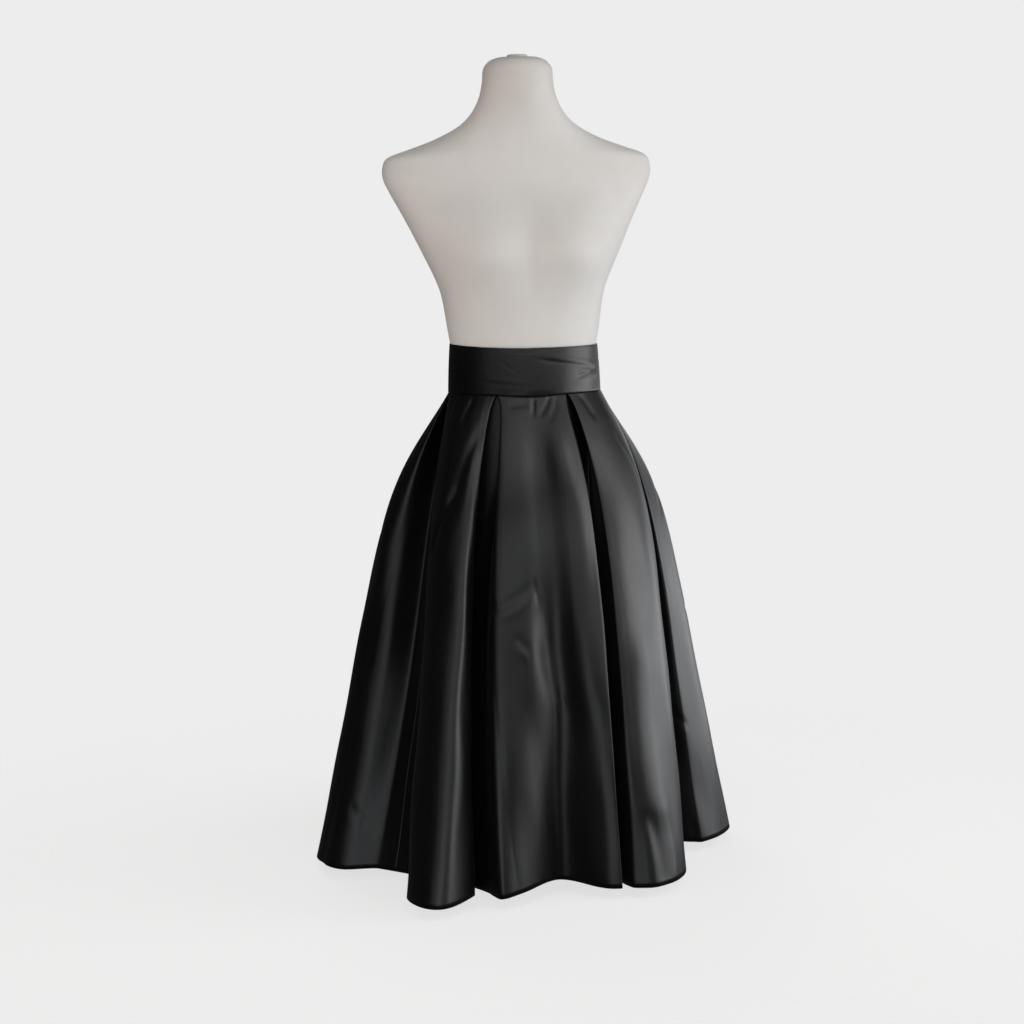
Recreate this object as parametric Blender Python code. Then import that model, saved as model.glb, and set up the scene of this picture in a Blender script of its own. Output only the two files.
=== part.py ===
"""A black midi skirt with a high waistband and six inverted pleats, worn by a white limbless dress form.

Metres, +Z up. The origin is the middle of the stand's underside, and the skirt's front faces -Y.
Left and right are the wearer's own, so left is +X.
"""
import math
from typing import NamedTuple

import bmesh
import bpy
from mathutils import Vector

# Heights
HEM_Z = 0.016                   # the hem hangs just clear of what the stand rests on
WAIST_Z = 0.832                 # top edge of the waistband
BAND_HEIGHT = 0.077
SEAM_Z = WAIST_Z - BAND_HEIGHT  # where the skirt is sewn to the waistband
SEAM_GAP = 0.0003               # clearance between two sewn pieces

# Waistband: half width and half depth of the outside of its two edges
BAND_TOP = (0.1186, 0.0925)
BAND_BOTTOM = (0.1226, 0.0955)
BAND_WALL = 0.0014
BAND_STEPS = 48                 # points round the whole waist
BAND_ROWS = 3

# Skirt cloth
CLOTH_WALL = 0.0014
WAIST_ELLIPSE = (0.1216, 0.0945)    # half width and half depth at the seam, middle of the cloth
FOLD_LAYER = 0.0026             # from one pressed layer of a pleat to the next
FOLD_DEPTH = 0.052              # how far a pleat is folded back under the panel beside it
SEAM_GAPE = 0.003               # a pleat's opening at the seam
UPPER_GAPE = 0.018              # and a little below it
GAPE_DROP = 0.02                # share of the drop over which the pleats spring open
BELL = 0.57                     # share of the flare that comes quickly, over the hips
BELL_DROP = 0.19                # share of the drop over which it comes
PLAIN_HEM_M = 0.290             # hem radius of the plain bell, before its waves
PLEAT_SPREAD = 0.050            # how far the pleat layers would fan apart by the hem, each from the next
WAVE_GROWTH = 1.4               # power by which the waves grow with the drop
FOLD_CHAMFER = 0.05             # width of a fold at the hem, as a share of the cloth beside it
HEM_FOLD_CUT = 0.022            # and how far from the fold it begins to turn
SOFTNESS = 0.94                 # how round a panel's waves are, 1 is fully round
FOLD_SOFTNESS = 0.60            # and a pleat's folds
BOW_LOSS = 3                    # power by which the cloth leaves the waist's round line
RETURN_MIDS = 2                 # points between a pleat's edge and its inner fold
UNDERLAY_MIDS = 5               # points between its two inner folds
PANEL_MIDS = 1                  # points between two lines of a panel
CLOTH_LEVELS = (0.0, 0.02, 0.055, 0.11, 0.18, 0.27, 0.38, 0.52, 0.68, 0.84, 1.0)


class Pleat(NamedTuple):
    """An inverted pleat: hem angle in degrees from the front and hem radius in metres of its folds."""
    name: str
    edge_1_deg: float
    edge_1_m: float
    inner_1_deg: float
    inner_1_m: float
    inner_2_deg: float
    inner_2_m: float
    edge_2_deg: float
    edge_2_m: float


# In order round the waist from the centre back, by the wearer's right side and the front
PLEATS = (
    Pleat("back_right", -138, 0.322, -132, 0.250, -124, 0.248, -118, 0.335),
    Pleat("side_right", -70.5, 0.322, -69, 0.236, -51, 0.248, -42, 0.358),
    Pleat("front_right", -25.0, 0.302, -31.0, 0.262, -21.0, 0.290, -16.3, 0.322),
    Pleat("front_left", 19.2, 0.300, 19.2, 0.236, 21.8, 0.236, 21.8, 0.306),
    Pleat("side_left", 53.5, 0.276, 60, 0.230, 78, 0.228, 77.5, 0.282),
    Pleat("back_left", 118, 0.328, 124, 0.246, 132, 0.250, 138, 0.320),
)


class Line(NamedTuple):
    """A lengthwise line of a panel: its share of the panel's width at the waist, and its place at the hem."""
    panel: str
    share: float
    hem_deg: float
    hem_m: float


LINES = (
    Line("centre_back_right", 0.20, -171, 0.300),
    Line("centre_back_right", 0.50, -159, 0.352),
    Line("centre_back_right", 0.78, -147, 0.362),
    Line("side_back_right", 0.33, -103, 0.340),
    Line("side_back_right", 0.70, -84, 0.372),
    Line("side_front_right", 0.36, -36.5, 0.380),
    Line("side_front_right", 0.74, -28.8, 0.394),
    Line("centre_front", 0.28, -9.5, 0.258),
    Line("centre_front", 0.48, -2.5, 0.210),
    Line("centre_front", 0.66, 9.5, 0.212),
    Line("centre_front", 0.84, 14.8, 0.272),
    Line("side_front_left", 0.32, 28.5, 0.332),
    Line("side_front_left", 0.70, 43, 0.312),
    Line("side_back_left", 0.33, 84, 0.319),
    Line("side_back_left", 0.68, 97, 0.350),
    Line("centre_back_left", 0.24, 147, 0.352),
    Line("centre_back_left", 0.52, 158, 0.358),
    Line("centre_back_left", 0.80, 171, 0.298),
)
PANELS = ("centre_back_right", "side_back_right", "side_front_right", "centre_front",
          "side_front_left", "side_back_left", "centre_back_left")
CENTRE_BACK_HEM_M = 0.286       # hem radius at the centre-back seam

# Concealed zip in the centre-back seam
ZIP_WIDTH = 0.006
ZIP_WALL = 0.0012
ZIP_TOP_Z = WAIST_Z - 0.003
ZIP_LENGTH_SHARE = 0.20         # how far down the skirt it goes, as a share of the drop
SLIDER_SIZE = (0.005, 0.002, 0.009)
SLIDER_DROP = 0.0105            # from the waistband's top edge to the slider's middle
BAIL_WIDTH = 0.002
BAIL_BAR = 0.001
BAIL_HOLE = (0.0024, 0.0026)    # clear depth and height inside the bail
PULL_SIZE = (0.0072, 0.0012, 0.021)
PULL_EYE = (0.004, 0.0042)      # clear width and height of the eye that hangs on the bail
PULL_BAR = 0.0012


class TabCorner(NamedTuple):
    """A corner of the pull tab's outline, as shares of its width and of its length."""
    side: float
    drop: float


PULL_OUTLINE = (
    TabCorner(0.36, 0.0),
    TabCorner(0.50, 0.06),
    TabCorner(0.50, 0.30),
    TabCorner(0.38, 0.45),
    TabCorner(0.36, 0.60),
    TabCorner(0.50, 0.80),
    TabCorner(0.47, 0.92),
    TabCorner(0.30, 1.0),
)


class Section(NamedTuple):
    """A level section of the dress form, by its height above the waistband's top edge."""
    rise: float
    half_width: float
    front: float
    back: float
    middle: float
    squareness: float


FORM_SECTIONS = (
    Section(-0.375, 0.132, 0.096, 0.106, 0.004, 2.1),
    Section(-0.330, 0.140, 0.102, 0.112, 0.004, 2.1),
    Section(-0.270, 0.136, 0.101, 0.108, 0.002, 2.1),
    Section(-0.200, 0.126, 0.096, 0.098, 0.0, 2.1),
    Section(-0.140, 0.1155, 0.090, 0.089, 0.0, 2.1),
    Section(-0.085, 0.111, 0.084, 0.084, 0.0, 2.05),
    Section(-0.040, 0.1115, 0.085, 0.084, 0.0, 2.0),
    Section(-0.004, 0.1160, 0.0885, 0.0860, 0.0, 2.0),
    Section(0.024, 0.1208, 0.0910, 0.0885, 0.0, 2.0),
    Section(0.075, 0.1284, 0.0950, 0.0920, 0.002, 2.1),
    Section(0.105, 0.1375, 0.0990, 0.0950, 0.005, 2.15),
    Section(0.151, 0.1585, 0.1030, 0.0985, 0.010, 2.25),
    Section(0.202, 0.1830, 0.0990, 0.0930, 0.022, 2.3),
    Section(0.240, 0.2030, 0.0880, 0.0820, 0.032, 2.3),
    Section(0.266, 0.2145, 0.0790, 0.0730, 0.038, 2.3),
    Section(0.285, 0.2150, 0.0710, 0.0660, 0.040, 2.25),
    Section(0.300, 0.2060, 0.0640, 0.0610, 0.039, 2.2),
    Section(0.313, 0.1700, 0.0580, 0.0580, 0.036, 2.1),
    Section(0.327, 0.1320, 0.0550, 0.0560, 0.031, 2.0),
    Section(0.345, 0.0970, 0.0540, 0.0560, 0.025, 2.0),
    Section(0.364, 0.0760, 0.0540, 0.0550, 0.019, 2.0),
    Section(0.389, 0.0622, 0.0545, 0.0550, 0.015, 2.0),
    Section(0.414, 0.0565, 0.0530, 0.0530, 0.012, 2.0),
    Section(0.434, 0.0545, 0.0515, 0.0515, 0.010, 2.0),
    Section(0.446, 0.0460, 0.0440, 0.0440, 0.010, 2.0),
    Section(0.4515, 0.0330, 0.0320, 0.0320, 0.010, 2.0),
)
FORM_STEPS = 28                 # points round each section
FORM_RINGS_BETWEEN = 1          # sections worked out between two of the table
BUST_RISE = 0.150               # soft bust: height, distance from the middle, reach and spread
BUST_SIDE = 0.078
BUST_REACH = 0.026
BUST_SPREAD = 0.046

KNOB_RADIUS = 0.0165
KNOB_HEIGHT = 0.008
KNOB_ROUND = 0.003

# Stand, plain and hidden by the skirt
BASE_RADIUS = 0.140
BASE_THICK = 0.012
BASE_ROUND = 0.003
POLE_RADIUS = 0.016
POLE_STEPS = 20
BASE_STEPS = 40


class Finish(NamedTuple):
    """Colour, roughness and metallic value of a material."""
    colour: tuple
    roughness: float
    metallic: float


FINISHES = {
    "black_satin": Finish((0.012, 0.012, 0.014), 0.42, 0.0),
    "form_cover": Finish((0.62, 0.60, 0.58), 0.62, 0.0),
    "zip_tape": Finish((0.02, 0.02, 0.022), 0.7, 0.0),
    "zip_metal": Finish((0.05, 0.05, 0.055), 0.35, 0.9),
    "stand_paint": Finish((0.70, 0.69, 0.67), 0.45, 0.0),
}


def clear_scene():
    """Remove every object of the open file."""
    for item in list(bpy.data.objects):
        bpy.data.objects.remove(item, do_unlink=True)


def material(name):
    """Return the named finish as a material of its own."""
    finish = FINISHES[name]
    made = bpy.data.materials.get(name)
    if made is None:
        made = bpy.data.materials.new(name)
        made.use_nodes = True
        shader = made.node_tree.nodes["Principled BSDF"]
        shader.inputs["Base Color"].default_value = (*finish.colour, 1.0)
        shader.inputs["Roughness"].default_value = finish.roughness
        shader.inputs["Metallic"].default_value = finish.metallic
        made.diffuse_color = (*finish.colour, 1.0)
    return made


def add_object(name, mesh_data, finish, smooth_angle=40.0):
    """Link a bmesh as a named object with its finish, round parts shaded smooth."""
    bmesh.ops.recalc_face_normals(mesh_data, faces=mesh_data.faces)
    mesh = bpy.data.meshes.new(name)
    mesh_data.to_mesh(mesh)
    mesh_data.free()
    mesh.materials.append(material(finish))
    mesh.shade_smooth()
    mesh.set_sharp_from_angle(angle=math.radians(smooth_angle))
    made = bpy.data.objects.new(name, mesh)
    bpy.context.scene.collection.objects.link(made)
    return made


def ellipse_walk(half_width, half_depth, steps=720):
    """Return the running arc length of an ellipse from its front, and its angles, in even angle steps."""
    arcs, angles = [0.0], [0.0]
    for step in range(steps):
        angle = 2 * math.pi * (step + 0.5) / steps
        speed = math.hypot(half_width * math.cos(angle), half_depth * math.sin(angle))
        arcs.append(arcs[-1] + speed * 2 * math.pi / steps)
        angles.append(2 * math.pi * (step + 1) / steps)
    return arcs, angles


WAIST_ARCS, WAIST_ANGLES = ellipse_walk(*WAIST_ELLIPSE)
WAIST_LENGTH = WAIST_ARCS[-1]


def on_waist(arc, offset):
    """Return the plan point at an arc length from the centre front, moved out by offset."""
    arc %= WAIST_LENGTH
    index = min(int(arc / WAIST_LENGTH * len(WAIST_ARCS)), len(WAIST_ARCS) - 2)
    while WAIST_ARCS[index] > arc:
        index -= 1
    while WAIST_ARCS[index + 1] < arc:
        index += 1
    part = (arc - WAIST_ARCS[index]) / (WAIST_ARCS[index + 1] - WAIST_ARCS[index])
    angle = WAIST_ANGLES[index] + part * (WAIST_ANGLES[index + 1] - WAIST_ANGLES[index])
    half_width, half_depth = WAIST_ELLIPSE
    point = Vector((half_width * math.sin(angle), -half_depth * math.cos(angle)))
    normal = Vector((half_depth * math.sin(angle), -half_width * math.cos(angle))).normalized()
    return point + normal * offset


def polar(degrees, radius):
    """Return the plan point at an angle from the front, +X side positive."""
    angle = math.radians(degrees)
    return Vector((radius * math.sin(angle), -radius * math.cos(angle)))


def pleat_arc(index):
    """Return the waist arc of a pleat's middle: the six share the waist evenly."""
    return ((index + 0.5) / len(PLEATS) - 0.5) * WAIST_LENGTH


class Station(NamedTuple):
    """A lengthwise line or fold of the cloth, where the waist and the hem have it."""
    arc: float          # waist arc from the centre front
    layer_in: int       # pressed layer before the fold, 0 is outermost
    layer_out: int      # and after it
    hem: Vector         # plan point at the hem
    mids: int           # points on the run to the next station


class Corner(NamedTuple):
    """A corner of the cloth's plan line before it is rounded."""
    place: Vector
    pair: bool          # whether it shares a fold with the next corner
    mids: int           # points on the run to the next corner


def stations(gape):
    """Return the lines and folds round the garment from the centre back, with pleats open by gape."""
    row = [Station(-WAIST_LENGTH / 2, 0, 0, polar(-180, CENTRE_BACK_HEM_M), PANEL_MIDS)]
    left = -WAIST_LENGTH / 2
    for index, panel in enumerate(PANELS):
        last = index == len(PLEATS)
        right = WAIST_LENGTH / 2 if last else pleat_arc(index) - gape / 2
        for line in (entry for entry in LINES if entry.panel == panel):
            arc = left + line.share * (right - left)
            row.append(Station(arc, 0, 0, polar(line.hem_deg, line.hem_m), PANEL_MIDS))
        if last:
            break
        middle = pleat_arc(index)
        left = middle + gape / 2
        pleat = PLEATS[index]
        edge_1 = polar(pleat.edge_1_deg, pleat.edge_1_m)
        inner_1 = polar(pleat.inner_1_deg, pleat.inner_1_m)
        inner_2 = polar(pleat.inner_2_deg, pleat.inner_2_m)
        edge_2 = polar(pleat.edge_2_deg, pleat.edge_2_m)
        row.append(Station(right, 0, 1, edge_1, RETURN_MIDS))
        row.append(Station(middle - FOLD_DEPTH, 1, 2, inner_1, UNDERLAY_MIDS))
        row.append(Station(middle + FOLD_DEPTH, 2, 1, inner_2, RETURN_MIDS))
        row.append(Station(left, 1, 0, edge_2, PANEL_MIDS))
    row.append(Station(WAIST_LENGTH / 2, 0, 0, polar(180, CENTRE_BACK_HEM_M), 0))
    return row


def flat_corners(row):
    """Return the corners of the plan line at the waist, as arc and offset."""
    corners = []
    for station in row:
        if station.layer_in == station.layer_out:
            corners.append(Corner(Vector((station.arc, 0.0)), False, station.mids))
            continue
        corners.append(Corner(Vector((station.arc, -station.layer_in * FOLD_LAYER)), True, 0))
        corners.append(Corner(Vector((station.arc, -station.layer_out * FOLD_LAYER)), False, station.mids))
    return corners


def plan_corners(row, flare, wave):
    """Return the corners of the plan line in plan, at shares of the plain flare and of the waves."""
    places, normals = [], []
    for station in row:
        layer = (station.layer_in + station.layer_out) / 2
        waist = on_waist(station.arc, -layer * FOLD_LAYER)
        normals.append((on_waist(station.arc, 1.0) - on_waist(station.arc, 0.0)) * FOLD_LAYER / 2)
        plain = station.hem.normalized() * (PLAIN_HEM_M - layer * PLEAT_SPREAD)
        places.append(waist.lerp(plain, flare) + (station.hem - plain) * wave)
    corners = []
    for index, station in enumerate(row):
        place = places[index]
        if station.layer_in == station.layer_out:
            corners.append(Corner(place, False, station.mids))
            continue
        step = normals[index] * (station.layer_out - station.layer_in)
        chamfer = FOLD_CHAMFER * flare
        corners.append(Corner(place.lerp(places[index - 1], chamfer) + step, True, 0))
        corners.append(Corner(place.lerp(places[index + 1], chamfer) - step, False, station.mids))
    return corners


def rounded_line(corners, fold_cut):
    """Return points along the corners, folds rounded over fold_cut, and the number each run starts at."""
    points, run_starts = [corners[0].place], [1]
    for index in range(1, len(corners) - 1):
        before, corner, after = corners[index - 1], corners[index], corners[index + 1]
        is_fold = corner.pair or before.pair
        run_in, run_out = before.place - corner.place, after.place - corner.place
        softness = FOLD_SOFTNESS if is_fold else SOFTNESS
        reach_in = run_in.length * (0.5 if before.pair else 0.5 * softness)
        reach_out = run_out.length * (0.5 if corner.pair else 0.5 * softness)
        if is_fold:
            reach_in, reach_out = min(reach_in, fold_cut), min(reach_out, fold_cut)
        start = corner.place + run_in.normalized() * reach_in
        end = corner.place + run_out.normalized() * reach_out
        if before.pair:
            start = points[-1]
        else:
            for mid in range(before.mids):
                points.append(points[-1].lerp(start, 1 / (before.mids - mid + 1)))
            points.append(start)
        points.append(start * 0.25 + corner.place * 0.5 + end * 0.25)
        points.append(end)
        run_starts.append(len(points))
    last = corners[-1].place
    for mid in range(corners[-2].mids):
        points.append(points[-1].lerp(last, 1 / (corners[-2].mids - mid + 1)))
    points.append(last)
    return points, run_starts


def bell(share):
    """Return how much of the flare is reached at a share of the drop."""
    return BELL * math.tanh(share / BELL_DROP) + (1 - BELL * math.tanh(1 / BELL_DROP)) * share


def cloth_line(share):
    """Return the cloth's plan line at a share of the drop from seam to hem."""
    gape = UPPER_GAPE - (UPPER_GAPE - SEAM_GAPE) * math.exp(-share / GAPE_DROP)
    flare = bell(share)
    row = stations(gape)
    pressed = FOLD_LAYER / 2
    fold_cut = pressed + (HEM_FOLD_CUT - pressed) * flare
    worn, _ = rounded_line(plan_corners(row, flare, share ** WAVE_GROWTH), fold_cut)
    straight, _ = rounded_line(plan_corners(row, 0.0, 0.0), pressed)
    flat, _ = rounded_line(flat_corners(row), pressed)
    bow = (1 - flare) ** BOW_LOSS
    return [point + (on_waist(*spot) - chord) * bow for point, chord, spot in zip(worn, straight, flat)]


def underlay_middle(index):
    """Return the point number of the middle of a pleat's underlay."""
    corners = flat_corners(stations(SEAM_GAPE))
    pairs = [number for number, corner in enumerate(corners) if corner.pair]
    _, run_starts = rounded_line(corners, FOLD_LAYER / 2)
    return run_starts[pairs[4 * index + 1] + 1] + UNDERLAY_MIDS // 2


def offset_line(points, distance):
    """Return a plan line that closes on itself, moved to its right-hand side, the outside of the garment."""
    moved = []
    for index, point in enumerate(points):
        before = points[index - 1] if index else points[-2]
        after = points[index + 1] if index < len(points) - 1 else points[1]
        into, out = (point - before).normalized(), (after - point).normalized()
        first, second = Vector((into.y, -into.x)), Vector((out.y, -out.x))
        middle = (first + second).normalized()
        moved.append(point + middle * (distance / max(middle.dot(first), 0.6)))
    return moved


def seamed(points):
    """Return a plan line with both of its ends drawn back by half a seam gap."""
    points = list(points)
    points[0] = points[0] + (points[1] - points[0]).normalized() * (SEAM_GAP / 2)
    points[-1] = points[-1] + (points[-2] - points[-1]).normalized() * (SEAM_GAP / 2)
    return points


def wall_mesh(levels):
    """Return a closed wall through levels, each a height with its outer and inner plan line."""
    mesh_data = bmesh.new()
    rows = []
    for height, outer, inner in levels:
        loop = [mesh_data.verts.new((point.x, point.y, height)) for point in outer]
        loop += [mesh_data.verts.new((point.x, point.y, height)) for point in reversed(inner)]
        rows.append(loop)
    count = len(rows[0])
    for upper, lower in zip(rows, rows[1:]):
        for index in range(count):
            after = (index + 1) % count
            mesh_data.faces.new((upper[index], upper[after], lower[after], lower[index]))
    half = count // 2
    for row in (rows[0], rows[-1]):
        for index in range(half - 1):
            mesh_data.faces.new((row[index], row[index + 1], row[count - 2 - index], row[count - 1 - index]))
    return mesh_data


def build_skirt():
    """Make the front and the two backs, with seams inside the side pleats and at centre back."""
    right_seam = underlay_middle(1)
    left_seam = underlay_middle(4)
    pieces = (
        ("skirt_back_right", 0, right_seam),
        ("skirt_front", right_seam, left_seam),
        ("skirt_back_left", left_seam, None),
    )
    top = SEAM_Z - SEAM_GAP
    for name, first, last in pieces:
        levels = []
        for share in CLOTH_LEVELS:
            line = cloth_line(share)
            cut = slice(first, None if last is None else last + 1)
            outer = seamed(offset_line(line, CLOTH_WALL / 2)[cut])
            inner = seamed(offset_line(line, -CLOTH_WALL / 2)[cut])
            levels.append((top + (HEM_Z - top) * share, outer, inner))
        add_object(name, wall_mesh(levels), "black_satin")


def band_line(half_width, half_depth, inset, first_turn, last_turn):
    """Return part of the waistband's plan line, from one turn to another, 0 being the front."""
    steps = round(BAND_STEPS * (last_turn - first_turn))
    points = []
    for step in range(steps + 1):
        angle = 2 * math.pi * (first_turn + (last_turn - first_turn) * step / steps)
        across, along = half_width - inset, half_depth - inset
        points.append(Vector((across * math.sin(angle), -along * math.cos(angle))))
    return seamed(points)


def build_waistband():
    """Make the waistband: one front and two backs, with seams at the sides and at centre back."""
    pieces = (
        ("waistband_back_right", -0.5, -0.25),
        ("waistband_front", -0.25, 0.25),
        ("waistband_back_left", 0.25, 0.5),
    )
    for name, first, last in pieces:
        levels = []
        for row in range(BAND_ROWS + 1):
            share = row / BAND_ROWS
            half_width = BAND_TOP[0] + (BAND_BOTTOM[0] - BAND_TOP[0]) * share
            half_depth = BAND_TOP[1] + (BAND_BOTTOM[1] - BAND_TOP[1]) * share
            outer = band_line(half_width, half_depth, 0.0, first, last)
            inner = band_line(half_width, half_depth, BAND_WALL, first, last)
            levels.append((WAIST_Z - BAND_HEIGHT * share, outer, inner))
        add_object(name, wall_mesh(levels), "black_satin")


def smooth_column(rows, column, position):
    """Return a column of a table at a fractional row number, on a smooth curve through its rows."""
    row = min(int(position), len(rows) - 2)
    part = position - row
    values = [getattr(rows[min(max(row + step, 0), len(rows) - 1)], column) for step in (-1, 0, 1, 2)]
    before, start, end, after = values
    slope_in, slope_out = (end - before) / 2, (after - start) / 2
    cubic = 2 * part ** 3 - 3 * part ** 2 + 1, part ** 3 - 2 * part ** 2 + part
    return start * cubic[0] + slope_in * cubic[1] + end * (1 - cubic[0]) + slope_out * (part ** 3 - part ** 2)


def form_ring(section):
    """Return one level ring of the dress form, with the soft bust in front."""
    ring = []
    for step in range(FORM_STEPS):
        angle = 2 * math.pi * step / FORM_STEPS
        power = 2 / section["squareness"]
        side = math.copysign(abs(math.sin(angle)) ** power, math.sin(angle))
        ahead = math.copysign(abs(math.cos(angle)) ** power, math.cos(angle))
        depth = section["front"] if ahead > 0 else section["back"]
        point = Vector((section["half_width"] * side, section["middle"] - depth * ahead, 0.0))
        point.z = WAIST_Z + section["rise"]
        if ahead > 0:
            away = (abs(point.x) - BUST_SIDE) ** 2 + (section["rise"] - BUST_RISE) ** 2
            point.y -= BUST_REACH * math.exp(-away / (2 * BUST_SPREAD ** 2)) * ahead ** 0.5
        ring.append(point)
    return ring


def build_form():
    """Make the limbless dress form, whole from hips to neck, and the knob on its neck."""
    mesh_data = bmesh.new()
    rings = []
    parts = FORM_RINGS_BETWEEN + 1
    for number in range((len(FORM_SECTIONS) - 1) * parts + 1):
        section = {name: smooth_column(FORM_SECTIONS, name, number / parts) for name in Section._fields}
        rings.append([mesh_data.verts.new(point) for point in form_ring(section)])
    for lower, upper in zip(rings, rings[1:]):
        for index in range(FORM_STEPS):
            after = (index + 1) % FORM_STEPS
            mesh_data.faces.new((lower[index], lower[after], upper[after], upper[index]))
    mesh_data.faces.new(rings[0])
    mesh_data.faces.new(rings[-1])
    add_object("form_torso", mesh_data, "form_cover", 50.0)
    top = FORM_SECTIONS[-1]
    knob = turned((
        (KNOB_RADIUS, 0.0),
        (KNOB_RADIUS, KNOB_HEIGHT - KNOB_ROUND),
        (KNOB_RADIUS - KNOB_ROUND, KNOB_HEIGHT),
    ), POLE_STEPS)
    knob = add_object("form_knob", knob, "form_cover")
    knob.location = (0.0, top.middle, WAIST_Z + top.rise + SEAM_GAP)


def turned(profile, steps):
    """Return a solid of revolution about Z from a profile of radius and height, bottom to top."""
    mesh_data = bmesh.new()
    rings = []
    for radius, height in profile:
        ring = []
        for step in range(steps):
            angle = 2 * math.pi * step / steps
            ring.append(mesh_data.verts.new((radius * math.sin(angle), -radius * math.cos(angle), height)))
        rings.append(ring)
    for lower, upper in zip(rings, rings[1:]):
        for index in range(steps):
            after = (index + 1) % steps
            mesh_data.faces.new((lower[index], lower[after], upper[after], upper[index]))
    mesh_data.faces.new(rings[0])
    mesh_data.faces.new(rings[-1])
    return mesh_data


def build_stand():
    """Make the plain round base and the pole that carries the form."""
    base = turned((
        (BASE_RADIUS - BASE_ROUND / 2, 0.0),
        (BASE_RADIUS, BASE_ROUND / 2),
        (BASE_RADIUS, BASE_THICK - BASE_ROUND),
        (BASE_RADIUS - BASE_ROUND, BASE_THICK),
    ), BASE_STEPS)
    add_object("stand_base", base, "stand_paint")
    bottom = BASE_THICK + SEAM_GAP
    top = WAIST_Z + FORM_SECTIONS[0].rise - SEAM_GAP
    pole = turned(((POLE_RADIUS, bottom), (POLE_RADIUS, top)), POLE_STEPS)
    add_object("stand_pole", pole, "stand_paint")


def box_mesh(size, middle):
    """Return a box of a size about a middle point."""
    mesh_data = bmesh.new()
    bmesh.ops.create_cube(mesh_data, size=1.0)
    bmesh.ops.scale(mesh_data, vec=Vector(size), verts=mesh_data.verts)
    bmesh.ops.translate(mesh_data, vec=Vector(middle), verts=mesh_data.verts)
    return mesh_data


def boolean(target, tool, operation):
    """Join a tool to its target, or cut it away, and keep the tool as a hidden guide."""
    change = target.modifiers.new(operation.lower(), "BOOLEAN")
    change.operation = operation
    change.solver = "EXACT"
    change.object = tool
    tool.hide_render = True
    tool.display_type = "WIRE"


def build_zip():
    """Make the concealed zip: tape behind the seam, and slider with its pull tab outside the waistband."""
    inset = CLOTH_WALL / 2 + SEAM_GAP + ZIP_WALL / 2
    path = [(ZIP_TOP_Z, BAND_TOP[1] - BAND_WALL / 2), (SEAM_Z, BAND_BOTTOM[1] - BAND_WALL / 2)]
    top = SEAM_Z - SEAM_GAP
    for share in CLOTH_LEVELS:
        if share < ZIP_LENGTH_SHARE:
            path.append((top + (HEM_Z - top) * share, cloth_line(share)[0].y))
    levels = []
    for height, depth in path:
        sides = (Vector((ZIP_WIDTH / 2, depth - inset)), Vector((-ZIP_WIDTH / 2, depth - inset)))
        outer = [point + Vector((0.0, ZIP_WALL / 2)) for point in sides]
        inner = [point - Vector((0.0, ZIP_WALL / 2)) for point in sides]
        levels.append((height, outer, inner))
    add_object("zip_tape", wall_mesh(levels), "zip_tape")

    drop_share = (SLIDER_DROP + SLIDER_SIZE[2] / 2) / BAND_HEIGHT
    back = BAND_TOP[1] + (BAND_BOTTOM[1] - BAND_TOP[1]) * drop_share + SEAM_GAP
    middle_z = WAIST_Z - SLIDER_DROP
    front = back + SLIDER_SIZE[1]
    slider_depth = SLIDER_SIZE[1]
    body = box_mesh(SLIDER_SIZE, (0.0, back + slider_depth / 2, middle_z))
    slider = add_object("zip_slider", body, "zip_metal")
    hole_depth, hole_height = BAIL_HOLE
    bail_size = (BAIL_WIDTH, hole_depth + BAIL_BAR + slider_depth / 2, hole_height + 2 * BAIL_BAR)
    bail_y = front + (hole_depth + BAIL_BAR - slider_depth / 2) / 2
    bail = add_object("bail_block", box_mesh(bail_size, (0.0, bail_y, middle_z)), "zip_metal")
    hole_size = (2 * BAIL_WIDTH, hole_depth, hole_height)
    hole = add_object("bail_hole", box_mesh(hole_size, (0.0, front + hole_depth / 2, middle_z)), "zip_metal")
    boolean(slider, bail, "UNION")
    boolean(slider, hole, "DIFFERENCE")

    axis_z = middle_z - hole_height / 2 + SEAM_GAP + PULL_BAR / 2
    axis_y = front + hole_depth / 2
    width, thick, length = PULL_SIZE
    tab = bmesh.new()
    outline = [(corner.side * width, PULL_BAR / 2 - corner.drop * length) for corner in PULL_OUTLINE]
    outline += [(-across, down) for across, down in reversed(outline)]
    face = tab.faces.new([tab.verts.new((across, -thick / 2, down)) for across, down in outline])
    grown = bmesh.ops.extrude_face_region(tab, geom=[face])
    moved = [item for item in grown["geom"] if isinstance(item, bmesh.types.BMVert)]
    bmesh.ops.translate(tab, vec=Vector((0.0, thick, 0.0)), verts=moved)
    pull = add_object("zip_pull", tab, "zip_metal", 30.0)
    pull.location = (0.0, axis_y, axis_z)
    eye_width, eye_height = PULL_EYE
    eye_size = (eye_width, 3 * thick, eye_height)
    eye = add_object("pull_eye", box_mesh(eye_size, (0.0, 0.0, -PULL_BAR / 2 - eye_height / 2)), "zip_metal")
    eye.parent = pull
    boolean(pull, eye, "DIFFERENCE")


def main():
    """Build the form on its stand, then the skirt on the form."""
    clear_scene()
    build_stand()
    build_form()
    build_waistband()
    build_skirt()
    build_zip()


main()
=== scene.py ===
"""A black satin midi skirt on a white dress form: the finished look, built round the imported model.

Metres, +Z up. The skirt's front faces -Y and the wearer's left is +X.
"""
import logging
import math
from dataclasses import dataclass
from enum import Enum
from typing import Any, NamedTuple, Sequence

import bmesh
import bpy
import numpy as np
from mathutils import Matrix, Vector


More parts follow.
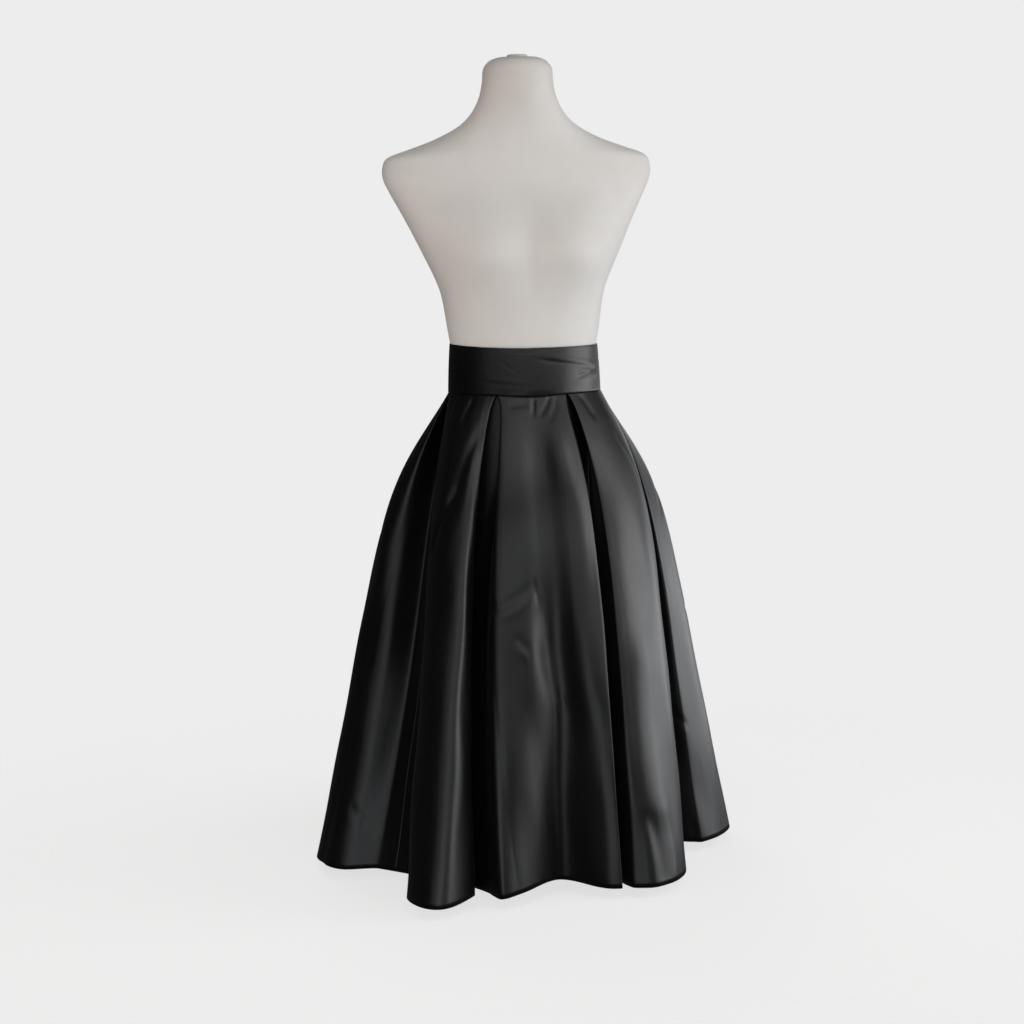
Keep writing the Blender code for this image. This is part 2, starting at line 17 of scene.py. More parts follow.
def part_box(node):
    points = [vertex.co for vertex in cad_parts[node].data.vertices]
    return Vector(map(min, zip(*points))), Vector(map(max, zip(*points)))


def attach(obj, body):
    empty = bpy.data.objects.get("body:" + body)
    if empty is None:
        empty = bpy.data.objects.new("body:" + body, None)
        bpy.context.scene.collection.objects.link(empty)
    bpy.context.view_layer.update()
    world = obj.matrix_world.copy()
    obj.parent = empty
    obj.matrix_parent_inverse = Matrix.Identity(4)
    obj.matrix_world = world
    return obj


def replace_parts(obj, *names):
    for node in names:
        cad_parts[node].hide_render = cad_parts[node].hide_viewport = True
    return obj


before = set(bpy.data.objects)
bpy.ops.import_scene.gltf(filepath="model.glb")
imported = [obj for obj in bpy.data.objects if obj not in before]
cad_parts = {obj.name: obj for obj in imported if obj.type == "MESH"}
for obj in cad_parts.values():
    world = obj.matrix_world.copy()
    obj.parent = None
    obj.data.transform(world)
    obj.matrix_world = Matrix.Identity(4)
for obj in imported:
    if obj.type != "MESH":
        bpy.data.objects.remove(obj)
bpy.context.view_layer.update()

LOG = logging.getLogger("skirt")
GARMENT = "skirt_on_form"
TAB = "pull_tab"
SEAM_GAP = 0.0003
HEM_ROLL = 0.022


class Value:
    """An output socket with arithmetic: an expression on values adds its Math nodes."""

    def __init__(self, graph: "Graph", socket: bpy.types.NodeSocket) -> None:
        """Wrap a socket of a graph."""
        self.graph = graph
        self.socket = socket

    def math(self, operation: str, *others: "Value | float") -> "Value":
        """Return the result of a Math node on this value and others."""
        sockets = dict(enumerate((self, *others)))
        return self.graph.node("ShaderNodeMath", {"operation": operation}, sockets)

    def __add__(self, other: "Value | float") -> "Value":
        """Return the sum."""
        return self.math("ADD", other)

    def __mul__(self, other: "Value | float") -> "Value":
        """Return the product."""
        return self.math("MULTIPLY", other)

    def __sub__(self, other: "Value | float") -> "Value":
        """Return the difference."""
        return self.math("SUBTRACT", other)

    def __rsub__(self, other: float) -> "Value":
        """Return a number less this value."""
        return (self * -1.0) + other

    __radd__ = __add__
    __rmul__ = __mul__

    def clamped(self) -> "Value":
        """Return this value held between 0 and 1."""
        return self.math("MINIMUM", 1.0).math("MAXIMUM", 0.0)


class Graph:
    """The nodes of one material."""

    def __init__(self, name: str) -> None:
        """Make an empty material.

        Args:
            name: its name.
        """
        self.material = bpy.data.materials.new(name)
        self.material.use_nodes = True
        self.tree = self.material.node_tree
        self.tree.nodes.clear()

    def node(self, kind: str, settings: dict[str, Any] | None = None,
             sockets: dict[Any, Any] | None = None, output: Any = 0) -> Value:
        """Add a node and return one of its outputs.

        Args:
            kind: the node's type.
            settings: its settings, set first.
            sockets: values or links of its inputs, by name or number.
            output: name or number of the output that is returned.

        Returns:
            The output, ready for arithmetic.
        """
        made = self.tree.nodes.new(kind)
        for name, value in (settings or {}).items():
            setattr(made, name, value)
        for key, value in (sockets or {}).items():
            if isinstance(value, Value):
                self.tree.links.new(value.socket, made.inputs[key])
            else:
                made.inputs[key].default_value = value
        return Value(self, made.outputs[output])

    def noise(self, place: Value, scale: float, detail: float = 3.0, roughness: float = 0.5) -> Value:
        """Return a noise pattern over a place."""
        sockets = {"Vector": place, "Scale": scale, "Detail": detail, "Roughness": roughness}
        return self.node("ShaderNodeTexNoise", {"noise_dimensions": "3D"}, sockets, "Fac")

    def stretched(self, place: Value, factors: Sequence[float]) -> Value:
        """Return a place with each of its axes scaled."""
        sockets = {0: place, 1: tuple(factors)}
        return self.node("ShaderNodeVectorMath", {"operation": "MULTIPLY"}, sockets)

    def mixed(self, share: Value, first: Sequence[float], second: Sequence[float]) -> Value:
        """Return a colour between two, by a share."""
        sockets = {0: share, 6: (*first, 1.0), 7: (*second, 1.0)}
        return self.node("ShaderNodeMix", {"data_type": "RGBA"}, sockets, 2)

    def bump(self, height: Value, distance: float, strength: float = 1.0,
             under: Value | None = None) -> Value:
        """Return a normal with a height pattern on it.

        Args:
            height: the pattern.
            distance: its depth in metres.
            strength: how much of it shows.
            under: the normal that it lies on, if not the plain one.

        Returns:
            The normal.
        """
        sockets = {"Height": height, "Distance": distance, "Strength": strength}
        if under is not None:
            sockets["Normal"] = under
        return self.node("ShaderNodeBump", None, sockets, "Normal")

    def place(self) -> Value:
        """Return the place on the object."""
        return self.node("ShaderNodeTexCoord", None, None, "Object")

    def surface(self, colour: Value, roughness: Value, normal: Value,
                constant: dict[str, float]) -> bpy.types.Material:
        """Close the graph with its shader.

        Args:
            colour: the base colour over the surface.
            roughness: the roughness over it.
            normal: the normal over it.
            constant: the inputs that are the same all over.

        Returns:
            The finished material.
        """
        varying = {"Base Color": colour, "Roughness": roughness, "Normal": normal}
        return self.output(self.node("ShaderNodeBsdfPrincipled", None, {**constant, **varying}, "BSDF"))

    def output(self, shader: Value) -> bpy.types.Material:
        """Link a shader to the material's output.

        Args:
            shader: the shader.

        Returns:
            The material.
        """
        out = self.tree.nodes.new("ShaderNodeOutputMaterial")
        self.tree.links.new(shader.socket, out.inputs["Surface"])
        return self.material


@dataclass(frozen=True)
class Satin:
    """Black duchess satin: a close smooth face with fine lengthwise threads and a soft sheen."""
    name: str = "black_satin"
    dark: tuple = (0.0009, 0.0008, 0.0009)
    light: tuple = (0.0020, 0.0020, 0.0023)
    roughness: float = 0.38
    specular: float = 0.5
    sheen: float = 0.012
    sheen_roughness: float = 0.4

    def material(self) -> bpy.types.Material:
        """Make the material, its threads running along the cloth's own grain.

        Returns:
            The material.
        """
        graph = Graph(self.name)
        grain = graph.node("ShaderNodeUVMap", {"uv_map": "grain"}, None, "UV")
        place = graph.place()
        threads = graph.noise(graph.stretched(grain, (2600.0, 160.0, 1.0)), 1.0, 2.0)
        slubs = graph.noise(graph.stretched(grain, (90.0, 900.0, 1.0)), 1.0, 2.0)
        clouds = graph.noise(place, 14.0, 4.0)
        ripple = graph.noise(graph.stretched(grain, (26.0, 9.0, 1.0)), 1.0, 3.0)
        colour = graph.mixed((clouds * 0.6 + threads * 0.4).clamped(), self.dark, self.light)
        rough = (clouds - 0.5) * 0.10 + (slubs - 0.5) * 0.05 + self.roughness
        normal = graph.bump(threads * 0.6 + slubs * 0.4, 0.00006, 0.5)
        normal = graph.bump(ripple, 0.0011, 0.6, normal)
        sheen = {"Sheen Weight": self.sheen, "Sheen Roughness": self.sheen_roughness}
        return graph.surface(colour, rough, normal, {"Specular IOR Level": self.specular, **sheen})


@dataclass(frozen=True)
class FormCover:
    """The form's smooth off-white skin, a little uneven and handled, with painted shade darkening the neck.
    """
    name: str = "form_cover"
    pale: tuple = (0.680, 0.668, 0.652)
    # the darker tone: random handling marks, and painted shade on the neck
    wear_and_shade: tuple = (0.590, 0.560, 0.528)
    roughness: float = 0.55
    specular: float = 0.35
    neck_shade_from: float = 1.17
    neck_shade_growth: float = 11.0

    def material(self) -> bpy.types.Material:
        """Make the material.

        Returns:
            The material.
        """
        graph = Graph(self.name)
        place = graph.place()
        clouds = graph.noise(place, 5.0, 3.0)
        smudges = graph.noise(graph.stretched(place, (30.0, 30.0, 18.0)), 1.0, 5.0, 0.6)
        grain = graph.noise(place, 900.0, 2.0)
        height = graph.node("ShaderNodeSeparateXYZ", None, {0: place}, "Z")
        # Painted shade: above a set height the colour is pushed towards the darker tone, standing in for the
        # shade on the neck.
        neck = ((height - self.neck_shade_from) * self.neck_shade_growth).clamped()
        share = ((clouds - 0.42) * 1.6 + (smudges - 0.5) * 0.5 + neck * 0.7).clamped()
        colour = graph.mixed(share, self.pale, self.wear_and_shade)
        rough = (smudges - 0.5) * 0.2 + self.roughness
        normal = graph.bump(grain * 0.4 + smudges * 0.6, 0.00025, 0.35)
        return graph.surface(colour, rough, normal, {"Specular IOR Level": self.specular})


@dataclass(frozen=True)
class Paint:
    """Powder-coated steel with a faint orange-peel texture."""
    name: str
    colour: tuple
    shade: tuple
    roughness: float
    metallic: float = 0.0

    def material(self) -> bpy.types.Material:
        """Make the material.

        Returns:
            The material.
        """
        graph = Graph(self.name)
        place = graph.place()
        peel = graph.noise(place, 700.0, 2.0)
        clouds = graph.noise(place, 22.0, 3.0)
        colour = graph.mixed(clouds, self.colour, self.shade)
        rough = (clouds - 0.5) * 0.12 + self.roughness
        normal = graph.bump(peel, 0.00008, 0.5)
        return graph.surface(colour, rough, normal, {"Metallic": self.metallic})


@dataclass(frozen=True)
class Tape:
    """Woven zip tape: a fine twill of matt black yarn."""
    name: str = "zip_tape"
    dark: tuple = (0.006, 0.006, 0.007)
    light: tuple = (0.022, 0.022, 0.024)
    roughness: float = 0.7
    specular: float = 0.3

    def material(self) -> bpy.types.Material:
        """Make the material.

        Returns:
            The material.
        """
        graph = Graph(self.name)
        place = graph.place()
        lines = graph.stretched(place, (1.0, 0.0, 1.0))
        twill = graph.node("ShaderNodeTexWave", {"wave_type": "BANDS", "bands_direction": "DIAGONAL"},
                           {"Vector": lines, "Scale": 420.0, "Distortion": 0.3}, "Fac")
        colour = graph.mixed(twill, self.dark, self.light)
        rough = twill * 0.1 + self.roughness
        normal = graph.bump(twill, 0.0001, 0.6)
        return graph.surface(colour, rough, normal, {"Specular IOR Level": self.specular})


class Finish(Enum):
    """The finishes of the skirt, the form and the stand."""
    SATIN = Satin()
    COVER = FormCover()
    STAND = Paint("stand_paint", (0.66, 0.65, 0.63), (0.60, 0.59, 0.57), 0.42)
    ENAMEL = Paint("zip_metal", (0.02, 0.02, 0.022), (0.035, 0.035, 0.038), 0.34, 0.6)
    TAPE = Tape()


MATERIALS: dict[Finish, bpy.types.Material] = {}


def dressed(finish: Finish) -> bpy.types.Material:
    """Return a finish's material, made once.

    Args:
        finish: the finish.

    Returns:
        Its material.
    """
    if finish not in MATERIALS:
        MATERIALS[finish] = finish.value.material()
    return MATERIALS[finish]


def linked(name: str, data: bpy.types.ID) -> bpy.types.Object:
    """Add an object to the scene.

    Args:
        name: its name.
        data: its mesh, lamp or camera.

    Returns:
        The object.
    """
    made = bpy.data.objects.new(name, data)
    bpy.context.scene.collection.objects.link(made)
    return made


def new_object(name: str, mesh: bpy.types.Mesh, finish: Finish, body: str = GARMENT,
               smooth_deg: float = 60.0) -> bpy.types.Object:
    """Link a mesh as a piece with its finish, riding on a body.

    Args:
        name: the piece's name.
        mesh: its mesh.
        finish: its finish, whose name is also its slot.
        body: the body that it moves with.
        smooth_deg: edges flatter than this are shaded smooth.

    Returns:
        The piece.
    """
    mesh.materials.append(dressed(finish))
    mesh.shade_smooth()
    mesh.set_sharp_from_angle(angle=math.radians(smooth_deg))
    piece = linked(name, mesh)
    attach(piece, body)
    LOG.info("%s: %d faces", name, len(mesh.polygons))
    return piece


def grid_mesh(name: str, points: np.ndarray, grain: np.ndarray | None = None,
              closed: bool = False) -> bpy.types.Mesh:
    """Return a mesh of quads through a grid of points.

    Args:
        name: the mesh's name.
        points: rows by columns by 3.
        grain: rows by columns by 2, the cloth's flat coordinates.
        closed: whether the last column joins the first.

    Returns:
        The mesh.
    """
    rows, columns = points.shape[:2]
    index = np.arange(rows * columns).reshape(rows, columns)
    if closed:
        index = np.concatenate([index, index[:, :1]], axis=1)
    faces = np.stack([index[:-1, :-1], index[1:, :-1], index[1:, 1:], index[:-1, 1:]], axis=-1)
    mesh = bpy.data.meshes.new(name)
    mesh.from_pydata(points.reshape(-1, 3).tolist(), [], faces.reshape(-1, 4).tolist())
    if grain is not None:
        layer = mesh.uv_layers.new(name="grain")
        corners = np.empty(len(mesh.loops), dtype=np.int64)
        mesh.loops.foreach_get("vertex_index", corners)
        layer.data.foreach_set("uv", grain.reshape(-1, 2)[corners].astype(np.float32).ravel())
    return mesh


def thickened(piece: bpy.types.Object, thickness: float) -> None:
    """Give a cloth surface its thickness and write it into the mesh.

    Args:
        piece: the surface's piece.
        thickness: the cloth's thickness, half on each side.
    """
    solid = piece.modifiers.new("cloth", "SOLIDIFY")
    solid.thickness = thickness
    solid.offset = 0.0
    solid.use_even_offset = False
    solid.use_rim = True
    graph = bpy.context.evaluated_depsgraph_get()
    made = bpy.data.meshes.new_from_object(piece.evaluated_get(graph))
    piece.modifiers.clear()
    piece.data = made


def capped(mesh: bpy.types.Mesh, merged: bool = False) -> None:
    """Fill a mesh's open ends and turn its faces out.

    Args:
        mesh: the mesh.
        merged: whether points at one place are joined first.
    """
    solid = bmesh.new()
    solid.from_mesh(mesh)
    if merged:
        bmesh.ops.remove_doubles(solid, verts=solid.verts, dist=1e-6)
    bmesh.ops.holes_fill(solid, edges=solid.edges)
    bmesh.ops.recalc_face_normals(solid, faces=solid.faces)
    solid.to_mesh(mesh)
    solid.free()


def written(name: str, solid: bmesh.types.BMesh) -> bpy.types.Mesh:
    """Write a closed solid into a new mesh, its faces turned out.

    Args:
        name: the mesh's name.
        solid: the solid, which is freed.

    Returns:
        The mesh.
    """
    bmesh.ops.recalc_face_normals(solid, faces=solid.faces)
    mesh = bpy.data.meshes.new(name)
    solid.to_mesh(mesh)
    solid.free()
    return mesh


class Fold(NamedTuple):
    """A fold of a pleat: its place at the hem, and how it hangs between the waist and there."""
    hem_deg: float      # its angle from the front, the wearer's left positive
    hem_m: float        # its distance from the axis
    fall_deg: float     # where it would hang without the hem's waves
    sway_m: float = 0.0     # how far it bows to the wearer's left half way down
    out_m: float = 0.0      # how far it bows outwards half way down
    roll_m: float = HEM_ROLL


class Pleat(NamedTuple):
    """An inverted pleat: its right edge, two inner folds and left edge."""
    name: str
    gape_m: float       # how far its edges stand apart below the seam
    folds: tuple[Fold, ...]


class Line(NamedTuple):
    """A lengthwise line of a panel: its share of the panel at the waist, and its place at the hem."""
    share: float
    hem_deg: float
    hem_m: float
    hem_rise_m: float = 0.0


class Fade(NamedTuple):
    """How a crease comes up from its ends."""
    growth: float
    start: float


CLOTH_FADE = Fade(4.0, 0.5)
BAND_FADE = Fade(3.0, 0.6)


class Crease(NamedTuple):
    """A crease: its two ends across and down the cloth, and its form."""
    across_1: float
    drop_1: float
    across_2: float
    drop_2: float
    width_m: float
    height_m: float     # out is a ridge, in a trough
    bow_m: float = 0.0

    def relief(self, offset: np.ndarray, along: np.ndarray, fade: Fade) -> np.ndarray:
        """Return how far points stand out or in for it.

        Args:
            offset: their places across and down from its first end, in metres.
            along: the way from its first end to its second.
            fade: how it comes up from its ends.

        Returns:
            The height at each point.
        """
        length = float(np.linalg.norm(along))
        part = offset @ along / length ** 2
        bow = self.bow_m * 4 * part * (1 - part)
        aside = (offset[..., 0] * along[1] - offset[..., 1] * along[0]) / length - bow
        rise = np.clip(np.minimum(part, 1 - part) * fade.growth + fade.start, 0.0, 1.0)
        return self.height_m * np.exp(-(aside / self.width_m) ** 2) * rise * rise * (3 - 2 * rise)


class Station(NamedTuple):
    """A lengthwise line or fold of the cloth, where the waist and the hem have it."""
    arc: float
    layer_in: int
    layer_out: int
    hem: np.ndarray
    mids: int
    zone: int
    fall_deg: float
    sway: float = 0.0
    out: float = 0.0
    roll: float = HEM_ROLL
    rise: float = 0.0


class Corner(NamedTuple):
    """A corner of the cloth's plan line before it is rounded; its place carries the hem's rise."""
    place: np.ndarray
    pair: bool
    mids: int
    zone: int
    roll: float


PLEATS = (
    Pleat("back_right", 0.014, (
        Fold(-138, 0.322, -133, 0.0, 0.0, 0.04), Fold(-132, 0.250, -132),
        Fold(-124, 0.248, -124, 0.006), Fold(-118, 0.335, -124, 0.006, 0.0, 0.04))),
    Pleat("side_right", 0.012, (
        Fold(-73.0, 0.344, -70, -0.018, 0.0, 0.13), Fold(-69.0, 0.284, -71, -0.018),
        Fold(-50, 0.256, -51), Fold(-42, 0.358, -46, 0.0, 0.0, 0.04))),
    Pleat("front_right", 0.018, (
        Fold(-25.0, 0.302, -25.0, -0.010, 0.008, 0.024), Fold(-31.0, 0.262, -34.0, -0.010),
        Fold(-21.0, 0.290, -28.0, -0.014), Fold(-16.3, 0.322, -16.3, -0.014, 0.016, 0.045))),
    Pleat("front_left", 0.018, (
        Fold(19.2, 0.300, 19.2, 0.0, 0.011, 0.022), Fold(19.2, 0.236, 16.0),
        Fold(21.8, 0.236, 20.0), Fold(21.8, 0.306, 21.8, 0.0, 0.018, 0.03))),
    Pleat("side_left", 0.002, (
        Fold(52.6, 0.276, 58.6, 0.0, 0.0, 0.022), Fold(60, 0.230, 55),
        Fold(78, 0.228, 63, 0.003), Fold(77.3, 0.276, 60.0, 0.003, 0.0, 0.026))),
    Pleat("back_left", 0.014, (
        Fold(118, 0.328, 124, -0.006, 0.0, 0.04), Fold(124, 0.246, 124, -0.006),
        Fold(132, 0.250, 132), Fold(138, 0.320, 133, 0.0, 0.0, 0.04))),
)
LINES = {
    "centre_back_right": (Line(0.20, -171, 0.300), Line(0.50, -159, 0.352), Line(0.78, -147, 0.362)),
    "side_back_right": (Line(0.33, -103, 0.340), Line(0.70, -84, 0.370)),
    "side_front_right": (Line(0.30, -37.4, 0.374), Line(0.56, -32.2, 0.391), Line(0.80, -27.6, 0.384)),
    "centre_front": (
        Line(0.26, -9.3, 0.287, 0.005), Line(0.45, -3.0, 0.256, 0.009),
        Line(0.61, 4.2, 0.217, 0.002), Line(0.83, 13.6, 0.288)),
    "side_front_left": (Line(0.32, 28.5, 0.332), Line(0.70, 42.5, 0.312)),
    "side_back_left": (Line(0.33, 85.4, 0.318), Line(0.68, 97, 0.350)),
    "centre_back_left": (Line(0.24, 147, 0.352), Line(0.52, 158, 0.358), Line(0.80, 171, 0.298)),
}
PANELS = tuple(LINES)
ZONES = PANELS + tuple(pleat.name for pleat in PLEATS)
# The ends are shares across the zone and down the cloth.
CREASES = {
    "side_front_right": (
        Crease(0.96, 0.070, 0.62, 0.225, 0.0085, -0.0024, -0.004),
        Crease(0.74, 0.175, 0.28, 0.305, 0.0055, -0.0030, -0.004),
        Crease(0.98, 0.190, 0.55, 0.330, 0.0140, 0.0012, -0.006),
        Crease(0.70, 0.004, 0.62, 0.052, 0.0050, -0.0022),
        Crease(0.30, 0.004, 0.24, 0.040, 0.0050, -0.0016),
    ),
    "centre_front": (
        Crease(0.53, 0.000, 0.51, 0.036, 0.0034, -0.0020),
        Crease(0.76, 0.000, 0.61, 0.036, 0.0030, -0.0020, 0.002),
        Crease(0.86, 0.006, 0.74, 0.050, 0.0040, -0.0013, 0.002),
        Crease(0.18, 0.020, 0.44, 0.014, 0.0035, -0.0017, 0.001),
        Crease(0.52, 0.050, 0.55, 0.560, 0.0240, -0.0055),
        Crease(0.81, 0.060, 0.85, 0.620, 0.0230, 0.0075),
        Crease(-0.10, 0.372, 0.07, 0.420, 0.0042, -0.0024),
        Crease(0.06, 0.420, 0.42, 0.372, 0.0050, -0.0013, -0.003),
        Crease(0.10, 0.436, 0.46, 0.392, 0.0060, 0.0013, -0.003),
        Crease(0.42, 0.366, 0.47, 0.412, 0.0036, -0.0008),
        Crease(0.25, 0.478, 0.34, 0.504, 0.0040, -0.0012),
        Crease(0.24, 0.500, 0.33, 0.520, 0.0045, 0.0014),
        Crease(0.62, 0.600, 0.66, 0.630, 0.0040, -0.0012),
    ),
    "side_front_left": (
        Crease(0.60, 0.085, 1.00, 0.230, 0.0050, -0.0022, 0.004),
        Crease(0.20, 0.004, 0.30, 0.050, 0.0050, -0.0014),
        Crease(0.27, 0.850, 0.40, 1.000, 0.0110, -0.0028, 0.004),
        Crease(0.46, 0.840, 0.56, 1.000, 0.0120, 0.0016, 0.004),
        Crease(0.36, 0.500, 0.40, 0.860, 0.0260, 0.0040),
    ),
    "side_back_left": (
        Crease(-0.05, 0.705, 0.09, 0.735, 0.0035, -0.0018),
        Crease(0.02, 0.955, 0.00, 1.000, 0.0050, -0.0020),
        Crease(0.55, 0.004, 0.46, 0.060, 0.0050, -0.0022),
        Crease(0.75, 0.080, 0.30, 0.270, 0.0070, -0.0026, 0.008),
        Crease(0.45, 0.480, 0.62, 0.520, 0.0050, -0.0016),
    ),
    "side_right": (
        Crease(0.06, 0.872, 0.19, 0.905, 0.0040, -0.0022),
    ),
    "side_back_right": (
        Crease(0.62, 0.004, 0.55, 0.050, 0.0050, -0.0020),
        Crease(0.25, 0.080, 0.70, 0.290, 0.0070, -0.0028, -0.008),
        Crease(0.30, 0.560, 0.45, 0.600, 0.0050, -0.0018),
    ),
    "centre_back_right": (
        Crease(0.42, 0.004, 0.50, 0.048, 0.0045, -0.0024),
        Crease(0.70, 0.010, 0.62, 0.060, 0.0045, -0.0018),
        Crease(0.30, 0.120, 0.80, 0.310, 0.0070, -0.0028, -0.010),
        Crease(0.35, 0.640, 0.50, 0.670, 0.0050, -0.0018),
    ),
    "centre_back_left": (
        Crease(0.55, 0.004, 0.48, 0.050, 0.0045, -0.0022),
        Crease(0.30, 0.010, 0.36, 0.055, 0.0045, -0.0017),
        Crease(0.75, 0.090, 0.25, 0.280, 0.0070, -0.0028, 0.010),
        Crease(0.60, 0.520, 0.72, 0.560, 0.0050, -0.0017),
    ),
}
# The ends are metres from the centre front and down from the top edge.
BAND_CREASES = (
    Crease(0.016, 0.0200, 0.112, 0.0395, 0.0020, -0.0009),
    Crease(0.030, 0.0165, 0.108, 0.0310, 0.0045, 0.0008),
    Crease(0.074, 0.0510, 0.112, 0.0400, 0.0024, -0.0013),
    Crease(0.076, 0.0440, 0.100, 0.0405, 0.0022, 0.0008),
    Crease(0.070, 0.0600, 0.120, 0.0480, 0.0050, 0.0007),
    Crease(-0.042, 0.0230, -0.028, 0.0350, 0.0022, -0.0003),
    Crease(-0.062, 0.0515, -0.014, 0.0555, 0.0030, 0.0003),
    Crease(-0.060, 0.0570, -0.010, 0.0605, 0.0032, -0.0002),
    Crease(-0.155, 0.0430, -0.132, 0.0480, 0.0022, -0.0009),
    Crease(-0.150, 0.0540, -0.120, 0.0500, 0.0030, 0.0007),
    Crease(0.150, 0.0240, 0.190, 0.0320, 0.0022, -0.0009),
    Crease(0.205, 0.0520, 0.250, 0.0440, 0.0026, -0.0010),
    Crease(0.210, 0.0460, 0.250, 0.0380, 0.0040, 0.0007),
    Crease(-0.300, 0.0360, -0.250, 0.0440, 0.0024, -0.0009),
    Crease(-0.240, 0.0220, -0.205, 0.0280, 0.0024, -0.0008),
    Crease(0.275, 0.0280, 0.305, 0.0340, 0.0022, -0.0007),
)
SEAM_LIFT = 0.0016
SEAM_RISE = 0.0030
SEAM_SPREAD = 0.3


def seam_rise(angle: np.ndarray) -> np.ndarray:
    """Return how far the waist seam lies above its plain level at angles from the front."""
    return SEAM_LIFT + SEAM_RISE * (1 - np.exp(-(np.sin(angle) / SEAM_SPREAD) ** 2))


@dataclass
class SkirtCloth:
    """The pleated cloth between the waistband's seam and the hem, and its wrinkles."""
    seam_z: float = 0.7547
    hem_z: float = 0.016
    wall: float = 0.0007
    waist_half_width: float = 0.1216
    waist_half_depth: float = 0.0945
    fold_layer: float = 0.0026
    fold_depth: float = 0.052
    seam_gape: float = 0.003
    gape_drop: float = 0.02
    bell_share: float = 0.57
    bell_drop: float = 0.19
    plain_hem: float = 0.290
    pleat_spread: float = 0.062
    wave_growth: float = 1.4
    fold_chamfer: float = 0.05
    softness: float = 0.94
    fold_softness: float = 0.60
    bow_loss: float = 3.0
    centre_back_hem: float = 0.286
    rolled: float = 0.032
    pressed_share: float = 0.4
    roll_ease: float = 0.27
    panel_ease: float = 0.011
    ease_reach: float = 0.022
    roll_reach: float = 0.40
    rise_growth: float = 3.0
    rows: int = 112
    row_growth: float = 1.22
    fold_steps: int = 5
    line_steps: int = 10
    return_mids: int = 8
    underlay_mids: int = 13
    panel_mids: int = 5
    hem_depth: float = 0.026
    hem_lift: float = 0.0006
    end_reach: float = 0.02
    top_reach: float = 0.006
    swell: float = 0.0007
    swell_count: int = 16
    swell_across: tuple = (0.07, 0.22)
    swell_down: tuple = (0.18, 0.6)
    swell_growth: float = 2.2
    swell_least: float = 0.12
    seam_roll: float = 0.0009
    seam_reach: float = 0.0022
    seam_top: float = 0.01
    seed: int = 7

    def __post_init__(self) -> None:
        """Measure the waist's ellipse."""
        angles = np.linspace(-math.pi, math.pi, 1441)
        middle = (angles[1:] + angles[:-1]) / 2
        speed = np.hypot(self.waist_half_width * np.cos(middle), self.waist_half_depth * np.sin(middle))
        steps = speed * np.diff(angles)
        arcs = np.concatenate([[0.0], np.cumsum(steps)])
        self.waist_length = float(arcs[-1])
        self.arcs = arcs - self.waist_length / 2
        self.angles = angles

    def on_waist(self, arc: float, offset: float) -> np.ndarray:
        """Return a plan point by the waist's line.

        Args:
            arc: its arc length from the centre front, the wearer's left positive.
            offset: how far it lies outside the line.

        Returns:
            Its X and Y.
        """
        angle = float(np.interp(arc, self.arcs, self.angles))
        across, along = math.sin(angle), -math.cos(angle)
        normal = np.array([self.waist_half_depth * across, self.waist_half_width * along])
        point = np.array([self.waist_half_width * across, self.waist_half_depth * along])
        return point + normal / np.linalg.norm(normal) * offset

    @staticmethod
    def polar(degrees: float, radius: float) -> np.ndarray:
        """Return the plan point at an angle from the front, the wearer's left positive."""
        angle = math.radians(degrees)
        return np.array([radius * math.sin(angle), -radius * math.cos(angle)])

    def stations(self, share: float) -> list[Station]:
        """Return the lines and folds round the garment from the centre back.

        Args:
            share: the share of the drop; below the seam the pleats' edges part.

        Returns:
            A station for each line and fold.
        """
        half = self.waist_length / 2
        row = [Station(-half, 0, 0, self.polar(-180, self.centre_back_hem), self.panel_mids, 0, -180.0)]
        left = -half
        opened = 1 - math.exp(-share / self.gape_drop)
        for index, panel in enumerate(PANELS):
            last = index == len(PLEATS)
            middle = ((index + 0.5) / len(PLEATS) - 0.5) * self.waist_length
            pleat = PLEATS[min(index, len(PLEATS) - 1)]
            gape = self.seam_gape + (pleat.gape_m - self.seam_gape) * opened
            right = half if last else middle - gape / 2
            for line in LINES[panel]:
                arc = left + line.share * (right - left)
                hem = self.polar(line.hem_deg, line.hem_m)
                row.append(Station(arc, 0, 0, hem, self.panel_mids, index, line.hem_deg,
                                   rise=line.hem_rise_m))
            if last:
                break
            left = middle + gape / 2
            zone = len(PANELS) + index
            spots = ((right, 0, 1, self.return_mids, zone),
                     (middle - self.fold_depth, 1, 2, self.underlay_mids, zone),
                     (middle + self.fold_depth, 2, 1, self.return_mids, zone),
                     (left, 1, 0, self.panel_mids, index + 1))
            for fold, (arc, layer_in, layer_out, mids, after) in zip(pleat.folds, spots):
                hem = self.polar(fold.hem_deg, fold.hem_m)
                row.append(Station(arc, layer_in, layer_out, hem, mids, after, fold.fall_deg,
                                   fold.sway_m, fold.out_m, fold.roll_m))
        hem = self.polar(180, self.centre_back_hem)
        row.append(Station(half, 0, 0, hem, 0, len(PANELS) - 1, 180.0))
        return row

    def flat_corners(self, row: list[Station]) -> list[Corner]:
        """Return the corners of the plan line at the waist, as arc and offset.

        Args:
            row: the lines and folds round the garment.

        Returns:
            The corners, two for each fold.
        """
        corners = []
        for station in row:
            layers = list(dict.fromkeys((station.layer_in, station.layer_out)))
            for number, layer in enumerate(layers, 1):
                last = number == len(layers)
                place = np.array((station.arc, -layer * self.fold_layer, 0.0))
                mids = station.mids if last else 0
                corners.append(Corner(place, not last, mids, station.zone, station.roll))
        return corners

